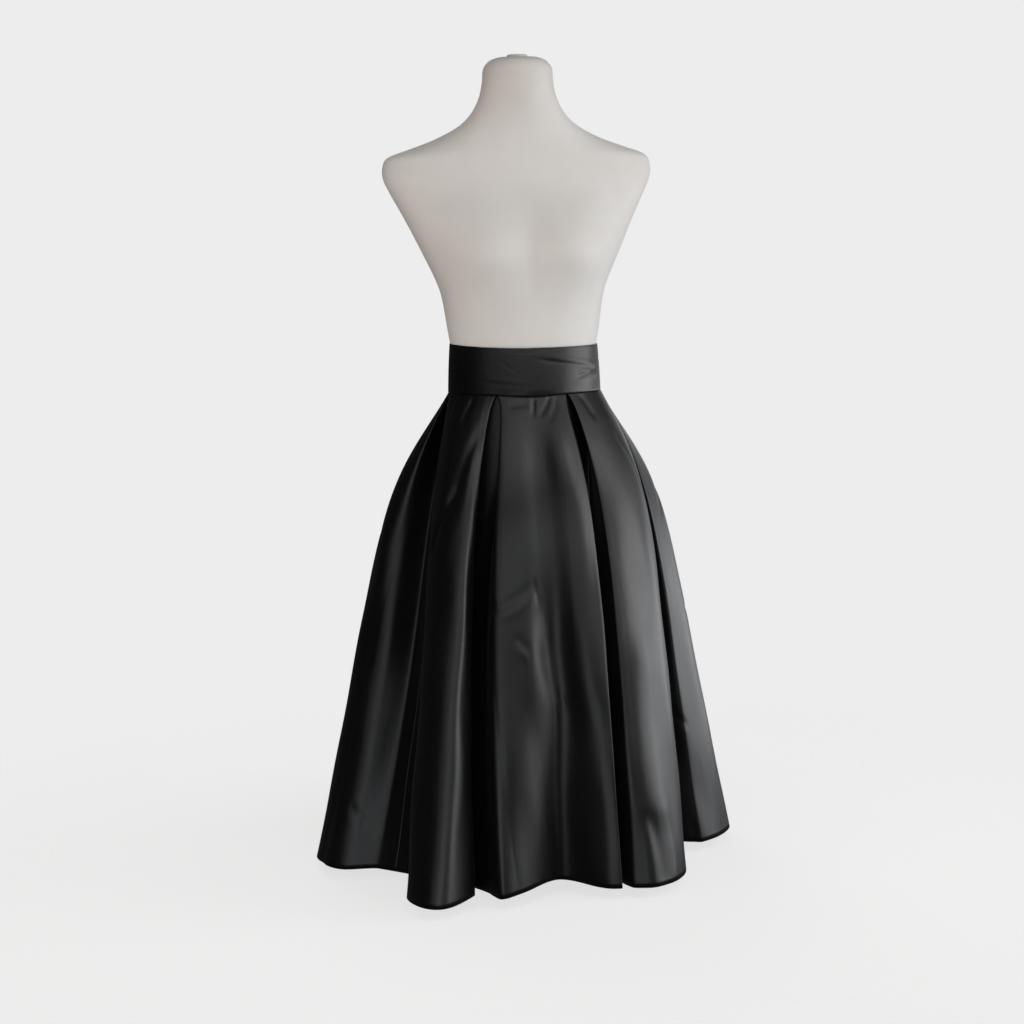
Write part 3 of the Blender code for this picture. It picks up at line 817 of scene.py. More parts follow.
    def plan_corners(self, row: list[Station], share: float, flare: float) -> list[Corner]:
        """Return the corners of the plan line.

        Args:
            row: the lines and folds round the garment.
            share: the share of the drop; the waves and the hem's rise grow with it.
            flare: the share of the plain flare.

        Returns:
            The corners, two for each fold.
        """
        places, steps = [], []
        wave = share ** self.wave_growth
        for station in row:
            layer = (station.layer_in + station.layer_out) / 2
            waist = self.on_waist(station.arc, -layer * self.fold_layer)
            normal = self.on_waist(station.arc, 1.0) - self.on_waist(station.arc, 0.0)
            turn = station.layer_out - station.layer_in
            steps.append(np.append(normal, 0.0) * self.fold_layer / 2 * turn)
            plain = self.polar(station.fall_deg, self.plain_hem - layer * self.pleat_spread)
            place = waist + (plain - waist) * flare + (station.hem - plain) * wave
            bow = np.array((-normal[1], normal[0])) * station.sway + normal * station.out
            place += bow * 4 * share * (1 - share)
            places.append(np.append(place, station.rise * share ** self.rise_growth))
        corners = []
        for index, station in enumerate(row):
            place = places[index]
            if station.layer_in == station.layer_out:
                corners.append(Corner(place, False, station.mids, station.zone, station.roll))
                continue
            chamfer = self.fold_chamfer * flare
            into = place + (places[index - 1] - place) * chamfer + steps[index]
            out = place + (places[index + 1] - place) * chamfer - steps[index]
            corners.append(Corner(into, True, 0, station.zone, station.roll))
            corners.append(Corner(out, False, station.mids, station.zone, station.roll))
        return corners

    def rounded(self, corners: list[Corner], flare: float) -> tuple[np.ndarray, np.ndarray, np.ndarray]:
        """Return points on a smooth line along the corners.

        Args:
            corners: the plan line's corners.
            flare: the share of the plain flare, with which the folds begin to roll.

        Returns:
            The points, the zone of each (panels first, then pleats), and the roll of each on a fold.
        """
        traced = [(corners[0].place, corners[0].zone, 0.0)]
        pressed = self.fold_layer / 2
        for before, corner, after in zip(corners, corners[1:], corners[2:]):
            is_fold = corner.pair or before.pair
            run_in, run_out = before.place - corner.place, after.place - corner.place
            length_in, length_out = np.linalg.norm(run_in), np.linalg.norm(run_out)
            softness = self.fold_softness if is_fold else self.softness
            reach_in = length_in * (0.5 if before.pair else 0.5 * softness)
            reach_out = length_out * (0.5 if corner.pair else 0.5 * softness)
            if is_fold:
                cut = pressed + (corner.roll - pressed) * flare
                reach_in, reach_out = min(reach_in, cut), min(reach_out, cut)
            start = corner.place + run_in / length_in * reach_in
            end = corner.place + run_out / length_out * reach_out
            if before.pair:
                start = traced[-1][0]
            else:
                traced += [(point, before.zone, 0.0)
                           for point in self.spread(traced[-1][0], start, before.mids)]
            steps = self.fold_steps if is_fold else self.line_steps
            for part in (step / steps for step in range(1, steps + 1)):
                point = start * (1 - part) ** 2 + corner.place * 2 * part * (1 - part) + end * part ** 2
                traced.append((point, corner.zone, corner.roll if is_fold else 0.0))
        traced += [(point, corners[-1].zone, 0.0)
                   for point in self.spread(traced[-1][0], corners[-1].place, corners[-2].mids)]
        points, zones, rolls = (np.array(column) for column in zip(*traced))
        return points, zones, rolls

    @staticmethod
    def spread(first: np.ndarray, last: np.ndarray, mids: int) -> list[np.ndarray]:
        """Return points spread evenly on the way from the first, which is left out, to the last."""
        return [first + (last - first) * (mid + 1) / (mids + 1) for mid in range(mids + 1)]

    def flare(self, share: float) -> float:
        """Return how much of the flare is reached at a share of the drop."""
        end = 1 - self.bell_share * math.tanh(1 / self.bell_drop)
        return self.bell_share * math.tanh(share / self.bell_drop) + end * share

    def level(self, share: float) -> tuple[np.ndarray, np.ndarray, np.ndarray]:
        """Return the cloth's line at one level.

        Args:
            share: the share of the drop.

        Returns:
            The points, the zone of each, and the roll of each on a fold.
        """
        flare = self.flare(share)
        row = self.stations(share)
        line, zones, rolls = self.rounded(self.plan_corners(row, share, flare), flare)
        straight, flat = (self.rounded(corners, 0.0)[0]
                          for corners in (self.plan_corners(row, 0.0, 0.0), self.flat_corners(row)))
        exact = np.array([self.on_waist(arc, offset) for arc, offset, _ in flat])
        line[:, :2] += (exact - straight[:, :2]) * (1 - flare) ** self.bow_loss
        angle = np.interp(flat[:, 0], self.arcs, self.angles)
        line[:, 2] += self.seam_z + (self.hem_z - self.seam_z) * share + seam_rise(angle) * (1 - share)
        return line, zones, rolls

    def surface(self) -> None:
        """Work out the whole cloth as a grid: its points, zones and flat coordinates."""
        self.shares = np.linspace(0.0, 1.0, self.rows) ** self.row_growth
        lines = [self.level(float(share)) for share in self.shares]
        self.zones, rolls = lines[0][1], lines[0][2]
        self.points = np.array([line for line, _, _ in lines])
        self.measure()
        self.ease(rolls)
        self.measure()
        self.drop = self.seam_z - self.hem_z
        self.fall = (self.shares * self.drop)[:, None] * np.ones_like(self.run)
        self.grain = np.stack([self.run[-1][None, :] * np.ones_like(self.run), self.fall], axis=-1)

    def measure(self) -> None:
        """Measure the run of the cloth round each row."""
        steps = np.linalg.norm(np.diff(self.points[..., :2], axis=1), axis=-1)
        self.run = np.concatenate([np.zeros((self.rows, 1)), np.cumsum(steps, axis=1)], axis=1)

    def ease(self, rolls: np.ndarray) -> None:
        """Soften the turns of the cloth, more towards the hem and round the rolled folds.

        Args:
            rolls: how far each column rolls at the hem if it is on a fold, or 0.
        """
        pressed = (rolls > 0) & (rolls < self.rolled)
        pressed[[0, -1]] = True
        rolled = np.flatnonzero(rolls >= self.rolled)
        for row, share in enumerate(self.shares):
            run = self.run[row]
            away = np.abs(run[:, None] - run[None, :])
            reach = self.ease_reach + rolls[rolled] * self.roll_reach
            turn = rolls[rolled] * self.roll_ease * np.exp(-(away[:, rolled] / reach) ** 2)
            spread = (self.panel_ease + turn.max(axis=1)) * share
            spread = np.minimum(spread, away[:, pressed].min(axis=1) * self.pressed_share) + 1e-6
            weight = np.exp(-0.5 * (away / spread[:, None]) ** 2) * np.gradient(run)
            self.points[row] = weight @ self.points[row] / weight.sum(axis=1, keepdims=True)

    def normals(self) -> np.ndarray:
        """Work out the cloth's normals.

        Returns:
            The outward unit normal at each point of the grid.
        """
        across = np.gradient(self.points, axis=1)
        down = np.gradient(self.points, axis=0)
        normal = np.cross(down, across)
        return normal / np.maximum(np.linalg.norm(normal, axis=-1, keepdims=True), 1e-12)

    def crease_relief(self) -> np.ndarray:
        """Work out the creases' relief.

        Returns:
            How far each point of the grid stands out or in.
        """
        relief = np.zeros_like(self.run)
        for zone, creases in CREASES.items():
            columns = np.flatnonzero(self.zones == ZONES.index(zone))
            start, end = self.run[:, columns[:1]], self.run[:, columns[-1:]]
            across = self.run - (start + end) / 2
            width = (end - start)[:, 0]
            for crease in creases:
                ends = ((crease.across_1, crease.drop_1), (crease.across_2, crease.drop_2))
                first, last = (
                    np.array(((place - 0.5) * np.interp(down, self.shares, width), down * self.drop))
                    for place, down in ends)
                offset = np.stack([across - first[0], self.fall - first[1]], axis=-1)
                relief += crease.relief(offset, last - first, CLOTH_FADE)
        return relief

    def swells(self) -> np.ndarray:
        """Work out the cloth's slight unevenness: long soft swells, more towards the hem.

        Returns:
            How far each point of the grid stands out or in.
        """
        chance = np.random.default_rng(self.seed)
        relief = np.zeros_like(self.run)
        for _ in range(self.swell_count):
            length_across = chance.uniform(*self.swell_across)
            length_down = chance.uniform(*self.swell_down) * chance.choice((-1.0, 1.0))
            turn = chance.uniform(0, 2 * math.pi)
            phase = self.grain[..., 0] / length_across + self.grain[..., 1] / length_down
            relief += np.sin(2 * math.pi * phase + turn) * chance.uniform(0.4, 1.0)
        grown = np.clip(self.shares * self.swell_growth, self.swell_least, 1.0)
        return relief * self.swell / 2 * grown[:, None]

    def build(self) -> None:
        """Make the front and the two backs, with their hem turnings."""
        self.surface()
        relief = self.crease_relief() + self.swells()
        ends = np.minimum(self.run, self.run[:, -1:] - self.run)
        relief *= np.clip(ends / self.end_reach, 0.0, 1.0) * np.clip(self.fall / self.top_reach, 0.0, 1.0)
        roll = self.seam_roll * np.exp(-(ends / self.seam_reach) ** 2)
        relief -= roll * np.clip(self.fall / self.seam_top, 0.0, 1.0)
        self.points += self.normals() * relief[..., None]
        self.points[:, [0, -1], 0] = 0.0
        normal = self.normals()
        right, left = (self.underlay_middle(pleat) for pleat in ("side_right", "side_left"))
        pieces = (
            ("skirt_back_right", 0, right),
            ("skirt_front", right, left),
            ("skirt_back_left", left, self.points.shape[1] - 1),
        )
        for name, first, last in pieces:
            cut = slice(first, last + 1)
            points = self.seamed(self.points[:, cut])
            piece = new_object(f"{name}_cloth", grid_mesh(name, points, self.grain[:, cut]), Finish.SATIN)
            thickened(piece, self.wall)
            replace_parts(piece, name)
            turning = self.hem_turning(name, points, normal[:, cut], self.grain[:, cut])

    @staticmethod
    def area(points: np.ndarray) -> float:
        """Measure a grid of points.

        Args:
            points: rows by columns by 3.

        Returns:
            Its area.
        """
        across = points[:-1, 1:] - points[:-1, :-1]
        down = points[1:, :-1] - points[:-1, :-1]
        return float(np.linalg.norm(np.cross(across, down), axis=-1).sum())

    def underlay_middle(self, pleat: str) -> int:
        """Return the column of the middle of a pleat's underlay."""
        columns = np.flatnonzero(self.zones == ZONES.index(pleat))
        return int(columns[len(columns) // 2])

    @staticmethod
    def seamed(points: np.ndarray) -> np.ndarray:
        """Draw a grid's two side edges back from their seams.

        Args:
            points: rows by columns by 3.

        Returns:
            The grid with its new edges.
        """
        points = points.copy()
        for edge, inner in ((0, 1), (-1, -2)):
            along = points[:, inner] - points[:, edge]
            points[:, edge] += along / np.linalg.norm(along, axis=-1, keepdims=True) * SEAM_GAP / 8
        return points

    def hem_turning(self, name: str, points: np.ndarray, normal: np.ndarray,
                    grain: np.ndarray) -> bpy.types.Object:
        """Make the turned-up hem behind the cloth's lower edge.

        Args:
            name: the name of the cloth's piece.
            points: the cloth's grid.
            normal: its normals.
            grain: its flat coordinates.

        Returns:
            The hem's piece.
        """
        level = self.seam_z - self.drop * self.shares
        rows = np.flatnonzero(level < self.hem_z + self.hem_depth)
        inward = points[rows] - normal[rows] * (self.wall + self.hem_lift)
        for edge in (0, -1):
            if abs(inward[-1, edge, 0]) < self.seam_reach:
                inward[:, edge, 0] = points[rows, edge, 0]
        piece = new_object(f"{name}_hem", grid_mesh(f"{name}_hem", inward, grain[rows]), Finish.SATIN)
        thickened(piece, self.wall)
        return piece


@dataclass
class Waistband:
    """The high stiffened waistband: a front and two backs."""
    top_z: float = 0.832
    height: float = 0.077
    top_size: tuple = (0.1186, 0.0925)
    bottom_size: tuple = (0.1226, 0.0955)
    girth: float = 2 * math.pi * 0.107
    wall: float = 0.0014
    steps: int = 320
    rows: int = 30
    inner_rows: int = 8
    edge_round: float = 0.0006
    corner_share: float = 0.25
    edge_growth: float = 9.0
    top_rise: float = 0.0052
    fold_height: float = 0.0024
    fold_arc: float = -0.0068
    fold_reach: float = 0.045
    fold_power: float = 1.3
    belly: float = 0.0005
    seam_roll: float = 0.0006
    seam_reach: float = 0.0012

    def outer(self, turn: np.ndarray, share: np.ndarray, inset: np.ndarray) -> np.ndarray:
        """Return points of the waistband.

        Args:
            turn: their turns from the front, 1 all round.
            share: their shares of the height from the top.
            inset: how far they lie inside the plain outside.

        Returns:
            The points.
        """
        half_width, half_depth = (top + (bottom - top) * share - inset
                                  for top, bottom in zip(self.top_size, self.bottom_size))
        angle = 2 * math.pi * turn
        top = self.top_z + self.top_rise * np.maximum(0.0, -np.sin(angle)) ** 2
        bottom = self.top_z - self.height + seam_rise(angle)
        return np.stack([half_width * np.sin(angle), -half_depth * np.cos(angle),
                         top + (bottom - top) * share], axis=-1)

    def relief(self, arc: np.ndarray, share: np.ndarray) -> np.ndarray:
        """Return how far the outside stands out: the pressed front fold, creases and a slight belly.

        Args:
            arc: the points' arc lengths from the centre front.
            share: their shares of the height from the top.

        Returns:
            The height at each point.
        """
        near = np.maximum(0.0, 1 - np.abs(arc - self.fold_arc) / self.fold_reach)
        out = self.fold_height * near ** self.fold_power
        out += self.belly * np.sin(math.pi * np.clip(share, 0, 1))
        for crease in BAND_CREASES:
            start = np.array((crease.across_1, crease.drop_1))
            along = np.array((crease.across_2, crease.drop_2)) - start
            offset = np.stack([arc, share * self.height], axis=-1) - start
            out += crease.relief(offset, along, BAND_FADE)
        return out * np.clip(np.minimum(share, 1 - share) * self.edge_growth, 0.0, 1.0)

    def build(self) -> None:
        """Make the three pieces."""
        pieces = (
            ("waistband_back_right", -0.5, -0.25, (0.18, 0.077)),
            ("waistband_front", -0.25, 0.25, (0.35, 0.077)),
            ("waistband_back_left", 0.25, 0.5, (0.18, 0.077)),
        )
        for name, first, last, flat in pieces:
            self.piece(name, first, last, flat)

    def piece(self, name: str, first: float, last: float, flat: tuple) -> None:
        """Make one piece, its edges rolled in at its seams.

        Args:
            name: the name of its solid.
            first: the turn where it begins.
            last: the turn where it ends.
            flat: its width and length when flat; not used.
        """
        columns = round(self.steps * (last - first)) + 1
        gap = SEAM_GAP / 2 / self.girth
        turn = np.linspace(first + gap, last - gap, columns)
        edge = self.edge_round / self.height
        profile = [(share, self.wall) for share in np.linspace(1.0 - edge, edge, self.inner_rows)]
        corner = self.wall * self.corner_share
        profile += [(0.0, self.wall - corner), (0.0, corner)]
        profile += [(share, 0.0) for share in np.linspace(edge, 1 - edge, self.rows)]
        profile += [(1.0, corner), (1.0, self.wall - corner)]
        share, inset = (np.array(column)[:, None] * np.ones(columns) for column in zip(*profile))
        turns = turn * np.ones_like(share)
        ends = np.minimum(turns - first, last - turns) * self.girth
        roll = self.seam_roll * np.exp(-ends / self.seam_reach)
        inset += (inset < 1e-6) * (roll - self.relief(turns * self.girth, share))
        points = self.outer(turns, share, inset)
        grain = np.stack([turns * self.girth, share * self.height], axis=-1)
        points, grain = (np.concatenate([grid, grid[:1]]) for grid in (points, grain))
        mesh = grid_mesh(name, points, grain)
        capped(mesh, merged=True)
        piece = new_object(f"{name}_cloth", mesh, Finish.SATIN, smooth_deg=50)
        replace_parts(piece, name)


class Section(NamedTuple):
    """A level section of the dress form, by its height above the waistband's top edge."""
    rise: float
    half_width: float
    front: float
    back: float
    middle: float
    squareness: float


FORM_SECTIONS = (
    Section(-0.375, 0.132, 0.096, 0.106, 0.004, 2.1),
    Section(-0.330, 0.140, 0.102, 0.112, 0.004, 2.1),
    Section(-0.270, 0.136, 0.101, 0.108, 0.002, 2.1),
    Section(-0.200, 0.126, 0.096, 0.098, 0.0, 2.1),
    Section(-0.140, 0.1155, 0.090, 0.089, 0.0, 2.1),
    Section(-0.085, 0.111, 0.084, 0.084, 0.0, 2.05),
    Section(-0.040, 0.1115, 0.085, 0.084, 0.0, 2.0),
    Section(-0.004, 0.1160, 0.0885, 0.0860, 0.0, 2.0),
    Section(0.024, 0.1208, 0.0910, 0.0885, 0.0, 2.0),
    Section(0.075, 0.1284, 0.0950, 0.0920, 0.002, 2.1),
    Section(0.105, 0.1375, 0.0990, 0.0950, 0.005, 2.15),
    Section(0.151, 0.1585, 0.1030, 0.0985, 0.010, 2.25),
    Section(0.202, 0.1830, 0.0990, 0.0930, 0.022, 2.3),
    Section(0.240, 0.2030, 0.0880, 0.0820, 0.032, 2.3),
    Section(0.266, 0.2145, 0.0835, 0.0730, 0.038, 2.3),
    Section(0.285, 0.2150, 0.0795, 0.0660, 0.040, 2.25),
    Section(0.300, 0.2060, 0.0750, 0.0610, 0.039, 2.2),
    Section(0.313, 0.1700, 0.0705, 0.0580, 0.036, 2.1),
    Section(0.327, 0.1320, 0.0650, 0.0560, 0.031, 2.0),
    Section(0.345, 0.0970, 0.0595, 0.0560, 0.025, 2.0),
    Section(0.364, 0.0760, 0.0555, 0.0550, 0.019, 2.0),
    Section(0.389, 0.0622, 0.0545, 0.0550, 0.015, 2.0),
    Section(0.414, 0.0565, 0.0530, 0.0530, 0.012, 2.0),
    Section(0.434, 0.0545, 0.0515, 0.0515, 0.010, 2.0),
    Section(0.446, 0.0460, 0.0440, 0.0440, 0.010, 2.0),
    Section(0.4515, 0.0330, 0.0320, 0.0320, 0.010, 2.0),
)


@dataclass
class DressForm:
    """The smooth limbless form with its knob."""
    waist_z: float = 0.832
    steps: int = 144
    between: int = 8
    bust_rise: float = 0.150
    bust_side: float = 0.078
    bust_reach: float = 0.026
    bust_spread: float = 0.046
    knob_radius: float = 0.0165
    knob_height: float = 0.0048
    knob_edge: tuple = ((0.0, 0.0025), (0.0006, 0.0012), (0.0020, 0.0003), (0.0045, 0.0))

    def section(self, position: float) -> Section:
        """Return a section on a smooth curve through the table.

        Args:
            position: its row number, with a fraction.

        Returns:
            The section.
        """
        row = min(int(position), len(FORM_SECTIONS) - 2)
        part = position - row
        last = len(FORM_SECTIONS) - 1
        rows = np.array([FORM_SECTIONS[min(max(row + step, 0), last)] for step in (-1, 0, 1, 2)])
        slope_in, slope_out = (rows[2] - rows[0]) / 2, (rows[3] - rows[1]) / 2
        start = 2 * part ** 3 - 3 * part ** 2 + 1
        values = rows[1] * start + rows[2] * (1 - start)
        values += slope_in * (part ** 3 - 2 * part ** 2 + part) + slope_out * (part ** 3 - part ** 2)
        return Section(*values)

    def ring(self, section: Section) -> np.ndarray:
        """Return one level ring, with the soft bust in front.

        Args:
            section: the level's section.

        Returns:
            Its points.
        """
        angle = np.linspace(0, 2 * math.pi, self.steps, endpoint=False)
        power = 2 / section.squareness
        side = np.sign(np.sin(angle)) * np.abs(np.sin(angle)) ** power
        ahead = np.sign(np.cos(angle)) * np.abs(np.cos(angle)) ** power
        depth = np.where(ahead > 0, section.front, section.back)
        across = section.half_width * side
        along = section.middle - depth * ahead
        away = (np.abs(across) - self.bust_side) ** 2 + (section.rise - self.bust_rise) ** 2
        along -= self.bust_reach * np.exp(-away / (2 * self.bust_spread ** 2)) * np.maximum(ahead, 0) ** 0.5
        return np.stack([across, along, np.full_like(across, self.waist_z + section.rise)], axis=-1)

    def build(self) -> None:
        """Make the torso and the knob."""
        count = (len(FORM_SECTIONS) - 1) * self.between + 1
        rings = np.array([self.ring(self.section(number / self.between)) for number in range(count)])
        mesh = grid_mesh("form", rings[::-1], closed=True)
        capped(mesh)
        piece = new_object("dress_form", mesh, Finish.COVER)
        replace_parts(piece, "form_torso")
        top = FORM_SECTIONS[-1]
        low = self.waist_z + top.rise + SEAM_GAP
        radius, height = self.knob_radius, self.knob_height
        edge = ((radius - inset, height - drop) for inset, drop in self.knob_edge)
        profile = ((0.0, 0.0), (radius, 0.0), *edge, (0.0, height))
        knob = new_object("neck_knob", turned("knob", profile, 48), Finish.COVER)
        knob.data.transform(Matrix.Translation((0.0, top.middle, low)))
        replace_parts(knob, "form_knob")


def turned(name: str, profile: Sequence[tuple[float, float]], steps: int) -> bpy.types.Mesh:
    """Return a solid of revolution about Z.

    Args:
        name: the mesh's name.
        profile: radius and height of each ring, bottom to top; a radius of 0 closes it.
        steps: points round a ring.

    Returns:
        The mesh.
    """
    solid = bmesh.new()
    rings = []
    for radius, height in profile:
        if radius == 0.0:
            rings.append([solid.verts.new((0.0, 0.0, height))])
            continue
        angles = [2 * math.pi * step / steps for step in range(steps)]
        rings.append([solid.verts.new((radius * math.sin(a), -radius * math.cos(a), height)) for a in angles])
    for lower, upper in zip(rings, rings[1:]):
        for index in range(steps):
            after = (index + 1) % steps
            corners = (lower[index % len(lower)], lower[after % len(lower)],
                       upper[after % len(upper)], upper[index % len(upper)])
            solid.faces.new(list(dict.fromkeys(corners)))
    return written(name, solid)


@dataclass
class Stand:
    """The round base and the pole that the skirt hides."""
    base_radius: float = 0.140
    base_thick: float = 0.012
    pole_radius: float = 0.016
    pole_top: float = 0.4567
    foot_edge: tuple = ((0.0015, 0.0), (0.0004, 0.0005), (0.0, 0.0015))
    rim_edge: tuple = ((0.0, 0.004), (0.0009, 0.0018), (0.003, 0.0004), (0.006, 0.0))

    def build(self) -> None:
        """Make both."""
        radius, thick = self.base_radius, self.base_thick
        foot = ((radius - inset, height) for inset, height in self.foot_edge)
        rim = ((radius - inset, thick - drop) for inset, drop in self.rim_edge)
        profile = ((0.0, 0.0), *foot, *rim, (0.0, thick))
        base = turned("base", profile, 128)
        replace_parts(new_object("round_base", base, Finish.STAND, smooth_deg=40), "stand_base")
        low, high, radius = thick + SEAM_GAP, self.pole_top, self.pole_radius
        pole = turned("pole", ((0.0, low), (radius, low), (radius, high), (0.0, high)), 64)
        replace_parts(new_object("pole", pole, Finish.STAND, smooth_deg=40), "stand_pole")


def bevelled_box(solid: bmesh.types.BMesh, size: Sequence[float], middle: Sequence[float],
                 edge: float) -> None:
    """Add a box with rounded edges.

    Args:
        solid: the solid that it is added to.
        size: its three sizes.
        middle: its middle.
        edge: how far its edges are rounded.
    """
    made = bmesh.ops.create_cube(solid, size=1.0)
    bmesh.ops.scale(solid, vec=Vector(size), verts=made["verts"])
    bmesh.ops.translate(solid, vec=Vector(middle), verts=made["verts"])
    edges = list({item for vert in made["verts"] for item in vert.link_edges})
    bmesh.ops.bevel(solid, geom=edges, offset=edge, segments=3, profile=0.5, affect="EDGES")


PULL_OUTLINE = (
    # share of the width to one side, share of the length down
    (0.30, 0.0), (0.44, 0.015), (0.5, 0.06), (0.5, 0.30), (0.44, 0.36), (0.38, 0.45), (0.36, 0.60),
    (0.42, 0.70), (0.5, 0.80), (0.5, 0.88), (0.45, 0.955), (0.34, 0.99), (0.20, 1.0),
)


@dataclass
class Zip:
    """The concealed zip: tape with its coil behind the seam, the slider and its pull tab."""
    axis: tuple = (0.0, 0.0965844, 0.8211)
    tape_width: float = 0.006
    tape_rows: int = 90
    slot_half: float = 0.0004
    slot_depth: float = 0.55
    coil_pitch: float = 0.0015
    coil_size: tuple = (0.0034, 0.0008, 0.0009)
    coil_lift: float = 0.00045
    coil_edge: float = 0.0003
    body_size: tuple = (0.005, 0.002, 0.009)
    body_edge: float = 0.0006
    crown_size: tuple = (0.0032, 0.0005, 0.0056)
    crown_edge: float = 0.0002
    crown_lift: float = 0.0001
    bail_out: float = 0.0026
    bail_rise: float = 0.0018
    bail_bend: float = 0.6
    bail_size: tuple = (0.0008, 0.0005)
    bail_steps: int = 12
    ring_steps: int = 10
    pull_size: tuple = (0.0072, 0.0012, 0.021)
    pull_top: float = 0.0006
    pull_edge: float = 0.00025
    eye_drop: float = 0.0027
    eye_size: tuple = (0.0020, 0.0021)
    eye_steps: int = 24

    def build(self) -> None:
        """Make the tape, the coil, the slider and the tab."""
        self.tape()
        self.slider()
        self.pull()

    def tape(self) -> None:
        """Make the tape on its solid's line, and the coil on its inner face."""
        verts = np.array([vert.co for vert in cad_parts["zip_tape"].data.vertices])
        heights = np.array(sorted(set(np.round(verts[:, 2], 4))))
        levels = [verts[np.abs(verts[:, 2] - height) < 2e-4, 1] for height in heights]
        down = np.linspace(heights.max(), heights.min(), self.tape_rows)
        back = np.interp(down, heights, [level.min() for level in levels])
        front = np.interp(down, heights, [level.max() for level in levels])
        half, slot = self.tape_width / 2, self.slot_half
        ring = ((-half, 0.0), (-slot, 0.0), (-slot, self.slot_depth), (slot, self.slot_depth),
                (slot, 0.0), (half, 0.0), (half, 1.0), (-half, 1.0))
        points = [[(x, face + (rear - face) * part, z) for x, part in ring]
                  for z, face, rear in zip(down, front, back)]
        mesh = grid_mesh("tape", np.array(points), closed=True)
        capped(mesh)
        piece = new_object("zip_tape_woven", mesh, Finish.TAPE, smooth_deg=30)
        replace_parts(piece, "zip_tape")
        coil = bmesh.new()
        for number in range(int((down[0] - down[-1]) / self.coil_pitch)):
            height = down[0] - (number + 0.5) * self.coil_pitch
            depth = float(np.interp(height, down[::-1], back[::-1])) - self.coil_lift
            bevelled_box(coil, self.coil_size, (0.0, depth, height), self.coil_edge)
        new_object("zip_coil", written("coil", coil), Finish.TAPE, smooth_deg=50)

    def slider(self) -> None:
        """Make the slider's body and the bail that carries the tab."""
        low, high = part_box("zip_slider")
        body = bmesh.new()
        depth = self.body_size[1]
        face, middle = low.y + depth, (low.z + high.z) / 2
        bevelled_box(body, self.body_size, (0.0, low.y + depth / 2, middle), self.body_edge)
        bevelled_box(body, self.crown_size, (0.0, face + self.crown_lift, middle), self.crown_edge)
        turns = [math.pi * step / self.bail_steps for step in range(self.bail_steps + 1)]
        path = [Vector((0.0, face + self.bail_out * math.sin(turn) ** self.bail_bend,
                        middle + self.bail_rise * math.cos(turn))) for turn in turns]
        side = Vector((1.0, 0.0, 0.0))
        rings = []
        for before, point, after in zip([path[0], *path], path, [*path[1:], path[-1]]):
            lift = (after - before).normalized().cross(side).normalized()
            turns = [2 * math.pi * step / self.ring_steps for step in range(self.ring_steps)]
            rings.append([body.verts.new(point + side * math.cos(turn) * self.bail_size[0]
                                         + lift * math.sin(turn) * self.bail_size[1]) for turn in turns])
        for one, two in zip(rings, rings[1:]):
            for step in range(self.ring_steps):
                after = (step + 1) % self.ring_steps
                body.faces.new((one[step], one[after], two[after], two[step]))
        body.faces.new(rings[0])
        body.faces.new(rings[-1])
        piece = new_object("zip_slider_enamel", written("slider", body), Finish.ENAMEL, smooth_deg=35)
        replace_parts(piece, "zip_slider")

    def pull(self) -> None:
        """Make the pull tab, pinched at its neck and pierced by its eye."""
        width, thick, length = self.pull_size
        right = [(side * width, self.pull_top - drop * length) for side, drop in PULL_OUTLINE]
        loop = right + [(-across, down) for across, down in reversed(right)]
        turns = [2 * math.pi * step / self.eye_steps for step in range(self.eye_steps)]
        eye = [(self.eye_size[0] * math.sin(turn), -self.eye_drop + self.eye_size[1] * math.cos(turn))
               for turn in turns]
        tab = bmesh.new()
        edges = []
        for ring in (loop, eye):
            verts = [tab.verts.new((across, -thick / 2, down)) for across, down in ring]
            edges += [tab.edges.new(pair) for pair in zip(verts, verts[1:] + verts[:1])]
        bmesh.ops.triangle_fill(tab, use_beauty=True, edges=edges)
        grown = bmesh.ops.extrude_face_region(tab, geom=list(tab.faces))
        moved = [item for item in grown["geom"] if isinstance(item, bmesh.types.BMVert)]
        bmesh.ops.translate(tab, vec=Vector((0.0, thick, 0.0)), verts=moved)
        bmesh.ops.recalc_face_normals(tab, faces=tab.faces)
        rims = [edge for edge in tab.edges if edge.calc_face_angle(0.0) > math.radians(70)]
        bmesh.ops.bevel(tab, geom=rims, offset=self.pull_edge, segments=2, profile=0.5, affect="EDGES")
        mesh = written("pull", tab)
        mesh.transform(Matrix.Translation(self.axis))
        piece = new_object("zip_pull_enamel", mesh, Finish.ENAMEL, TAB, 35)
        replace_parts(piece, "zip_pull")


class Reach(Enum):
    """What a lamp lights: everything, only the matt surfaces, or only the sheen of the cloth."""
    ALL = (True, True)
    MATT = (True, False)
    SHEEN = (False, True)


@dataclass(frozen=True)
class Lamp:
    """A soft rectangular light."""
    name: str
    place: tuple
    aim: tuple
    width: float
    height: float
    radiance: float
    colour: tuple
    reach: Reach = Reach.ALL

    def build(self) -> None:
        """Add the light."""
        data = bpy.data.lights.new(self.name, "AREA")
        data.shape = "RECTANGLE"
        data.size, data.size_y = self.width, self.height
        data.energy = self.radiance * math.pi * self.width * self.height
        data.color = self.colour
        lamp = linked(self.name, data)
        lamp.location = self.place
        lamp.rotation_euler = (Vector(self.aim) - Vector(self.place)).to_track_quat("-Z", "Y").to_euler()
        lamp.visible_diffuse, lamp.visible_glossy = self.reach.value


